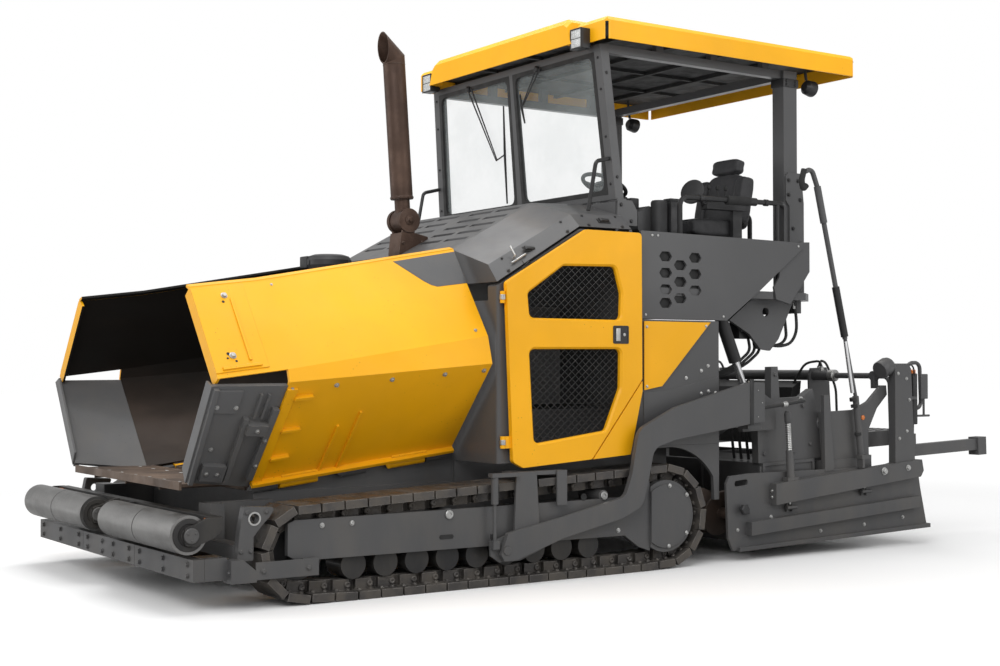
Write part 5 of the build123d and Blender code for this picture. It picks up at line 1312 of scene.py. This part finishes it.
class PAVER_OT_end_plates(PaverOperator):
    """Screw legs, clamps, bolts, control units and mast sleeves of the end plates"""

    bl_idname = "paver.end_plates"
    bl_label = "End plates"

    def build(self, context):
        bright, dark, grey, amber = shapes(4)
        bright.side_bolts(BEAM_FACE, ((1.919, 0.531),), 0.020)
        bright.side_bolts(BEAM_FACE, ((2.164, 0.545),), 0.016)
        bright.side_bolts(PLATE_FACE, ((0.896, 0.268), (1.356, 0.150), (1.781, 0.168), (2.173, 0.196)), 0.010)
        bright.side_bolts(POST_FACE, ((2.09, 1.205), (2.176, 1.169), (2.205, 1.021), (2.178, 0.801),
                                      (2.10, 0.751)), 0.009)
        bright.side_bolts(PLATE_FACE, ((0.60, 0.20),), 0.009)
        for z in (0.40, 0.44):
            bright.bolt((1.262, 0.889, z), FORWARD, 0.009)
        # Screw leg with its sleeves and bright thread.
        foot = Vector((1.272, 1.050, 0.505))
        run = Vector((1.272, 1.022, 0.95)) - foot
        grey.lathe([(0, 0.030), (0.01, 0.027), (0.19, 0.025), (0.20, 0.022)], foot, run, 20)
        bright.lathe([(0.20 + 0.006 * k, 0.0175 if k % 2 else 0.0195) for k in range(30)], foot, run, 14)
        grey.lathe([(0, 0.022), (0.004, 0.024), (0.06, 0.024), (0.066, 0.020)],
                   foot + run.normalized() * 0.38, run, 20)
        # Quick clamps between the beams, and the hand knob.
        for y, z in ((1.056, 0.325), (1.769, 0.398)):
            grey.tube([(1.27, y - 0.045, z), (1.27, y + 0.045, z)], 0.014, 12)
            bright.lathe([(0, 0.009), (0.05, 0.009)], (1.255, y, z + 0.02), (0.1, 0, 1), 10)
            for near, far in ((-0.028, -0.018), (0.018, 0.028)):
                grey.box((1.243, y + near, z - 0.03), (1.256, y + far, z + 0.05), 0.001)
        dark.lathe([(0, 0.014), (0.02, 0.014), (0.024, 0.034), (0.046, 0.036), (0.052, 0.030)],
                   (1.243, 0.628, 0.335), OUTWARD, 6)
        dark.box((1.243, 0.648, 0.300), (1.262, 0.690, 0.325), 0.003)
        # Marker on the guide tube's end.
        amber.lathe([(0, 0.016), (0.006, 0.016), (0.008, 0.010)], (1.2035, 1.815, 0.900), OUTWARD, 16)
        # Control unit behind the post: body, orange cap, display with its bracket, rail and cables.
        dark.box((1.150, 2.348, 0.84), (1.196, 2.396, 1.205), 0.008)
        amber.lathe([(0, 0.020), (0.022, 0.020), (0.028, 0.014)], (1.173, 2.372, 1.205), UP, 18)
        for low, high, bevel in (((1.145, 2.47, 1.02), (1.165, 2.545, 1.20), 0.006),
                                 ((1.150, 2.50, 0.90), (1.160, 2.515, 1.03), 0.001),
                                 ((1.178, 2.19, 1.02), (1.2235, 2.36, 1.04), 0.002)):
            grey.box(low, high, bevel)
        grey.tube([(1.16, 2.39, 0.90), (1.16, 2.56, 0.90)], 0.008, 8)
        dark.hose([(1.173, 2.372, 0.84), (1.18, 2.36, 0.72), (1.20, 2.28, 0.62), (1.22, 2.22, 0.60)], 0.05,
                  0.007)
        dark.hose([(1.19, 2.372, 1.18), (1.22, 2.32, 1.27), (1.235, 2.20, 1.26), (1.24, 2.15, 1.20)], 0.05,
                  0.006)
        # Drum head of the control post.
        grey.lathe([(-0.03, 0.058), (-0.024, 0.0615), (0.05, 0.0615), (0.056, 0.058)], (1.225, 1.992, 1.238),
                   (0, 1, 0.45), 32)
        bright.finish_pair("end_plate_bolts", "zinc", EXTENSIONS)
        dark.finish_pair("end_plate_knobs", "plastic", EXTENSIONS)
        grey.finish_pair("end_plate_fittings", "grey", EXTENSIONS)
        amber.finish_pair("end_plate_markers", "amber_lens_painted_glow", EXTENSIONS)
        self.mast_sleeves()

    @staticmethod
    def mast_sleeves():
        """Black sleeves, foam rings and the bright middle of the mast's telescopic tube."""
        sleeves, bright, plastic = shapes(3)
        run, low = MAST_KNEE - MAST_TOP, MAST_FOOT - MAST_KNEE
        sleeves.tube([MAST_TOP + run * 0.55, MAST_TOP + run * 0.98], 0.0255, 14)
        bright.tube([MAST_KNEE + low * 0.02, MAST_KNEE + low * 0.46], 0.0138, 12)
        sleeves.tube([MAST_KNEE + low * 0.50, MAST_KNEE + low * 0.53], 0.026, 14)
        for share in (0.56, 0.80):
            plastic.lathe([(0, 0.024), (0.02, 0.024)], MAST_KNEE + low * share, low, 14)
        # Handle hooked over the bent top.
        hook = [(1.215, 2.575), (1.190, 2.500), (1.205, 2.440), (1.235, 2.470)]
        plastic.hose([(MAST_X, *spot) for spot in hook], 0.02, 0.020, 12)
        sleeves.finish_pair("mast_sleeves", "black", EXTENSIONS)
        bright.finish_pair("mast_tubes", "chrome", EXTENSIONS)
        plastic.finish_pair("mast_handles", "foam", EXTENSIONS)


TREAD_ROWS, TREAD_COLUMNS, TREAD_HALF = 8, 33, 0.985


class PAVER_OT_screed(PaverOperator):
    """Cylinders' glands, hoses, bolts, treads and reflectors of the screed, and a dark wedge that paints the
    shade over the walkway's front edge
    """

    bl_idname = "paver.screed"
    bl_label = "Screed"

    def build(self, context):
        glands, hoses, bolts, gap_shade = shapes(4)
        for sign, y in ((1, 2.062), (-1, 2.157)):
            glands.lathe([(0, 0.038), (0.004, 0.043), (0.05, 0.043), (0.056, 0.036)],
                         carried(sign * 0.70, y, 1.073), (sign, 0, 0), 26)
            glands.lathe([(0, 0.022), (0.004, 0.030), (0.012, 0.030)], carried(sign * 0.75, y, 1.073),
                         (sign, 0, 0), 22)
            # Ports and their hoses down to the walkway.
            for x in (sign * 0.62, sign * -0.50):
                port = carried(x, y, 1.105)
                glands.lathe([(0, 0.018), (0.016, 0.018), (0.02, 0.013), (0.034, 0.013)], port, UP, 6)
                hoses.hose([port + Vector((0, 0, 0.03)), port + Vector((-sign * 0.02, 0.0, 0.075)),
                            port + Vector((-sign * 0.12, -0.05, 0.06)),
                            carried(x - sign * 0.24, y - 0.08, 0.98),
                            carried(x - sign * 0.26, y - 0.10, 0.70)], 0.05, 0.009)
        glands.finish("shift_cylinder_glands", "zinc", "screed")
        for sign, (y, z) in ((1, (1.48, 0.77)), (-1, (1.64, 0.77))):
            for x in (0.35, 0.95, 1.151):
                bolts.lathe([(0, 0.053), (0.004, 0.056), (0.02, 0.056), (0.024, 0.053)],
                            carried(sign * x, y, z), (sign, 0, 0), 28)
        for sign in BOTH:
            for y, z in ((0.93, 0.60), (1.20, 0.60), (1.36, 0.64), (1.66, 0.60), (1.30, 0.90), (1.05, 1.12)):
                bolts.bolt(carried(sign * 1.1605, y, z), (sign, 0, 0), 0.012)
            for k in range(3):
                x = sign * (0.78 + 0.07 * k)
                hoses.hose([carried(x, 1.02, 0.545), carried(x, 1.0, 0.72),
                            carried(x - sign * 0.02, 1.05, 0.93),
                            carried(x, 1.22, 0.90), carried(x, 1.30, 0.74)], 0.08, 0.010)
        bolts.finish("screed_bolts", "grey", "screed")
        # Long dark wedge over the walkway's front edge: painted shade for the gap there.
        outline = [(1.90, 0.90), (1.93, 0.99), (2.02, 1.035), (2.0, 0.90)]
        gap_shade.join([[carried(x, y, z) for y, z in outline] for x in (-0.9, 0.45)])
        gap_shade.finish("screed_gap_shade", "black", "screed")
        hoses.finish("screed_hoses", "rubber", "screed")
        self.walkway_tread()

    @staticmethod
    def walkway_tread():
        """Raised studs on the walkway and the reflectors behind it."""
        studs, marks = shapes(2)
        upright = carried(0, 0, 1) - carried(0, 0, 0)
        for row in range(TREAD_ROWS):
            for column in range(TREAD_COLUMNS):
                x = -0.96 + 0.06 * column + (0.03 if row % 2 else 0)
                if abs(x) <= TREAD_HALF:
                    spot = carried(x, 2.0 + 0.062 * row, 0.668)
                    studs.lathe([(0, 0.011), (0.003, 0.010), (0.004, 0.006)], spot, upright, 8)
        studs.finish("walkway_studs", "grey", "screed")
        for x in (-0.86, -0.30, 0.30, 0.86):
            marks.box(carried(x - 0.04, 2.4805, 0.60), carried(x + 0.04, 2.484, 0.63), 0.001)
        marks.finish("rear_reflectors", "red_lens_painted_glow", "screed")


# --- exhaust ---

STACK_PIVOT = Vector((0, -1.165, 2.196))
STACK_LEAN = Matrix.Rotation(math.radians(4), 3, "X")
CLEANER = Vector((-0.5, -1.445, 1.94))


class PAVER_OT_exhaust(PaverOperator):
    """Bands and rivets of the stack, its clamp bolts, and the pre-cleaner's catches"""

    bl_idname = "paver.exhaust"
    bl_label = "Exhaust"

    def build(self, context):
        bands, clamps, bowl = shapes(3)
        up = STACK_LEAN @ Vector(UP)
        for height, profile in ((0.142, [(0, 0.073), (0.003, 0.0755), (0.016, 0.0755), (0.019, 0.073)]),
                                (1.012, [(0, 0.0725), (0.002, 0.0742), (0.004, 0.0725)])):
            bands.lathe(profile, STACK_PIVOT + up * height, up, 40)
        for (x, y), out in zip(circle(8, 0.0755), circle(8, 1)):
            spot = STACK_PIVOT + up * 0.151 + STACK_LEAN @ Vector((x, y, 0))
            bands.rivet(spot, STACK_LEAN @ Vector((*out, 0)), 0.005)
        bands.finish("stack_bands", "exhaust", "exhaust_stack")
        for sign in BOTH:
            clamps.lathe([(0, 0.030), (0.004, 0.030), (0.008, 0.020)], (sign * 0.080, -1.165, 2.196),
                         (sign, 0, 0), 24)
            clamps.side_bolts(sign * 0.087, ((-1.165, 2.196),), 0.013)
            clamps.side_bolts(sign * 0.070, ((-1.205, 2.05), (-1.06, 2.06)), 0.009)
        clamps.finish("stack_clamp_bolts", "exhaust", "root")
        bowl.box((-0.62, -1.60, 1.905), (-0.52, -1.52, 1.985), 0.010)
        for (x, y), out in zip(circle(3, 0.148, 0.6), circle(3, 1, 0.6)):
            seat = facing_frame(CLEANER + Vector((x, y, 0)), (*out, 0))
            bowl.box((-0.010, -0.016, -0.004), (0.010, 0.016, 0.010), 0.002, seat)
        bowl.finish("pre_cleaner_catches", "plastic", "root")


# --- the add-on ---

OPERATORS = (PAVER_OT_stage, PAVER_OT_finishes, PAVER_OT_door_screens, PAVER_OT_crawlers, PAVER_OT_front,
             PAVER_OT_hopper, PAVER_OT_body, PAVER_OT_glazing, PAVER_OT_lamps, PAVER_OT_seats,
             PAVER_OT_controls,
             PAVER_OT_hydraulics, PAVER_OT_arms, PAVER_OT_end_plates, PAVER_OT_screed, PAVER_OT_exhaust)


class PAVER_PT_panel(bpy.types.Panel):
    """Steps that build the paver"""

    bl_idname = "PAVER_PT_panel"
    bl_label = "Paver"
    bl_space_type = "VIEW_3D"
    bl_region_type = "UI"
    bl_category = "Paver"

    def draw(self, context):
        column = self.layout.column()
        column.prop(context.scene.paver_stage, "lens")
        column.prop(context.scene.paver_fittings, "mesh_pitch")
        for made in OPERATORS:
            column.operator(made.bl_idname)


CLASSES = (PaverStage, PaverFittings, *OPERATORS, PAVER_PT_panel)


def register():
    for made in CLASSES:
        bpy.utils.register_class(made)
    bpy.types.Scene.paver_stage = bpy.props.PointerProperty(type=PaverStage)
    bpy.types.Scene.paver_fittings = bpy.props.PointerProperty(type=PaverFittings)


def unregister():
    del bpy.types.Scene.paver_stage
    del bpy.types.Scene.paver_fittings
    for made in reversed(CLASSES):
        bpy.utils.unregister_class(made)


def main():
    register()
    for made in OPERATORS:
        group, action = made.bl_idname.split(".")
        getattr(getattr(bpy.ops, group), action)()


if __name__ == "__main__":
    main()
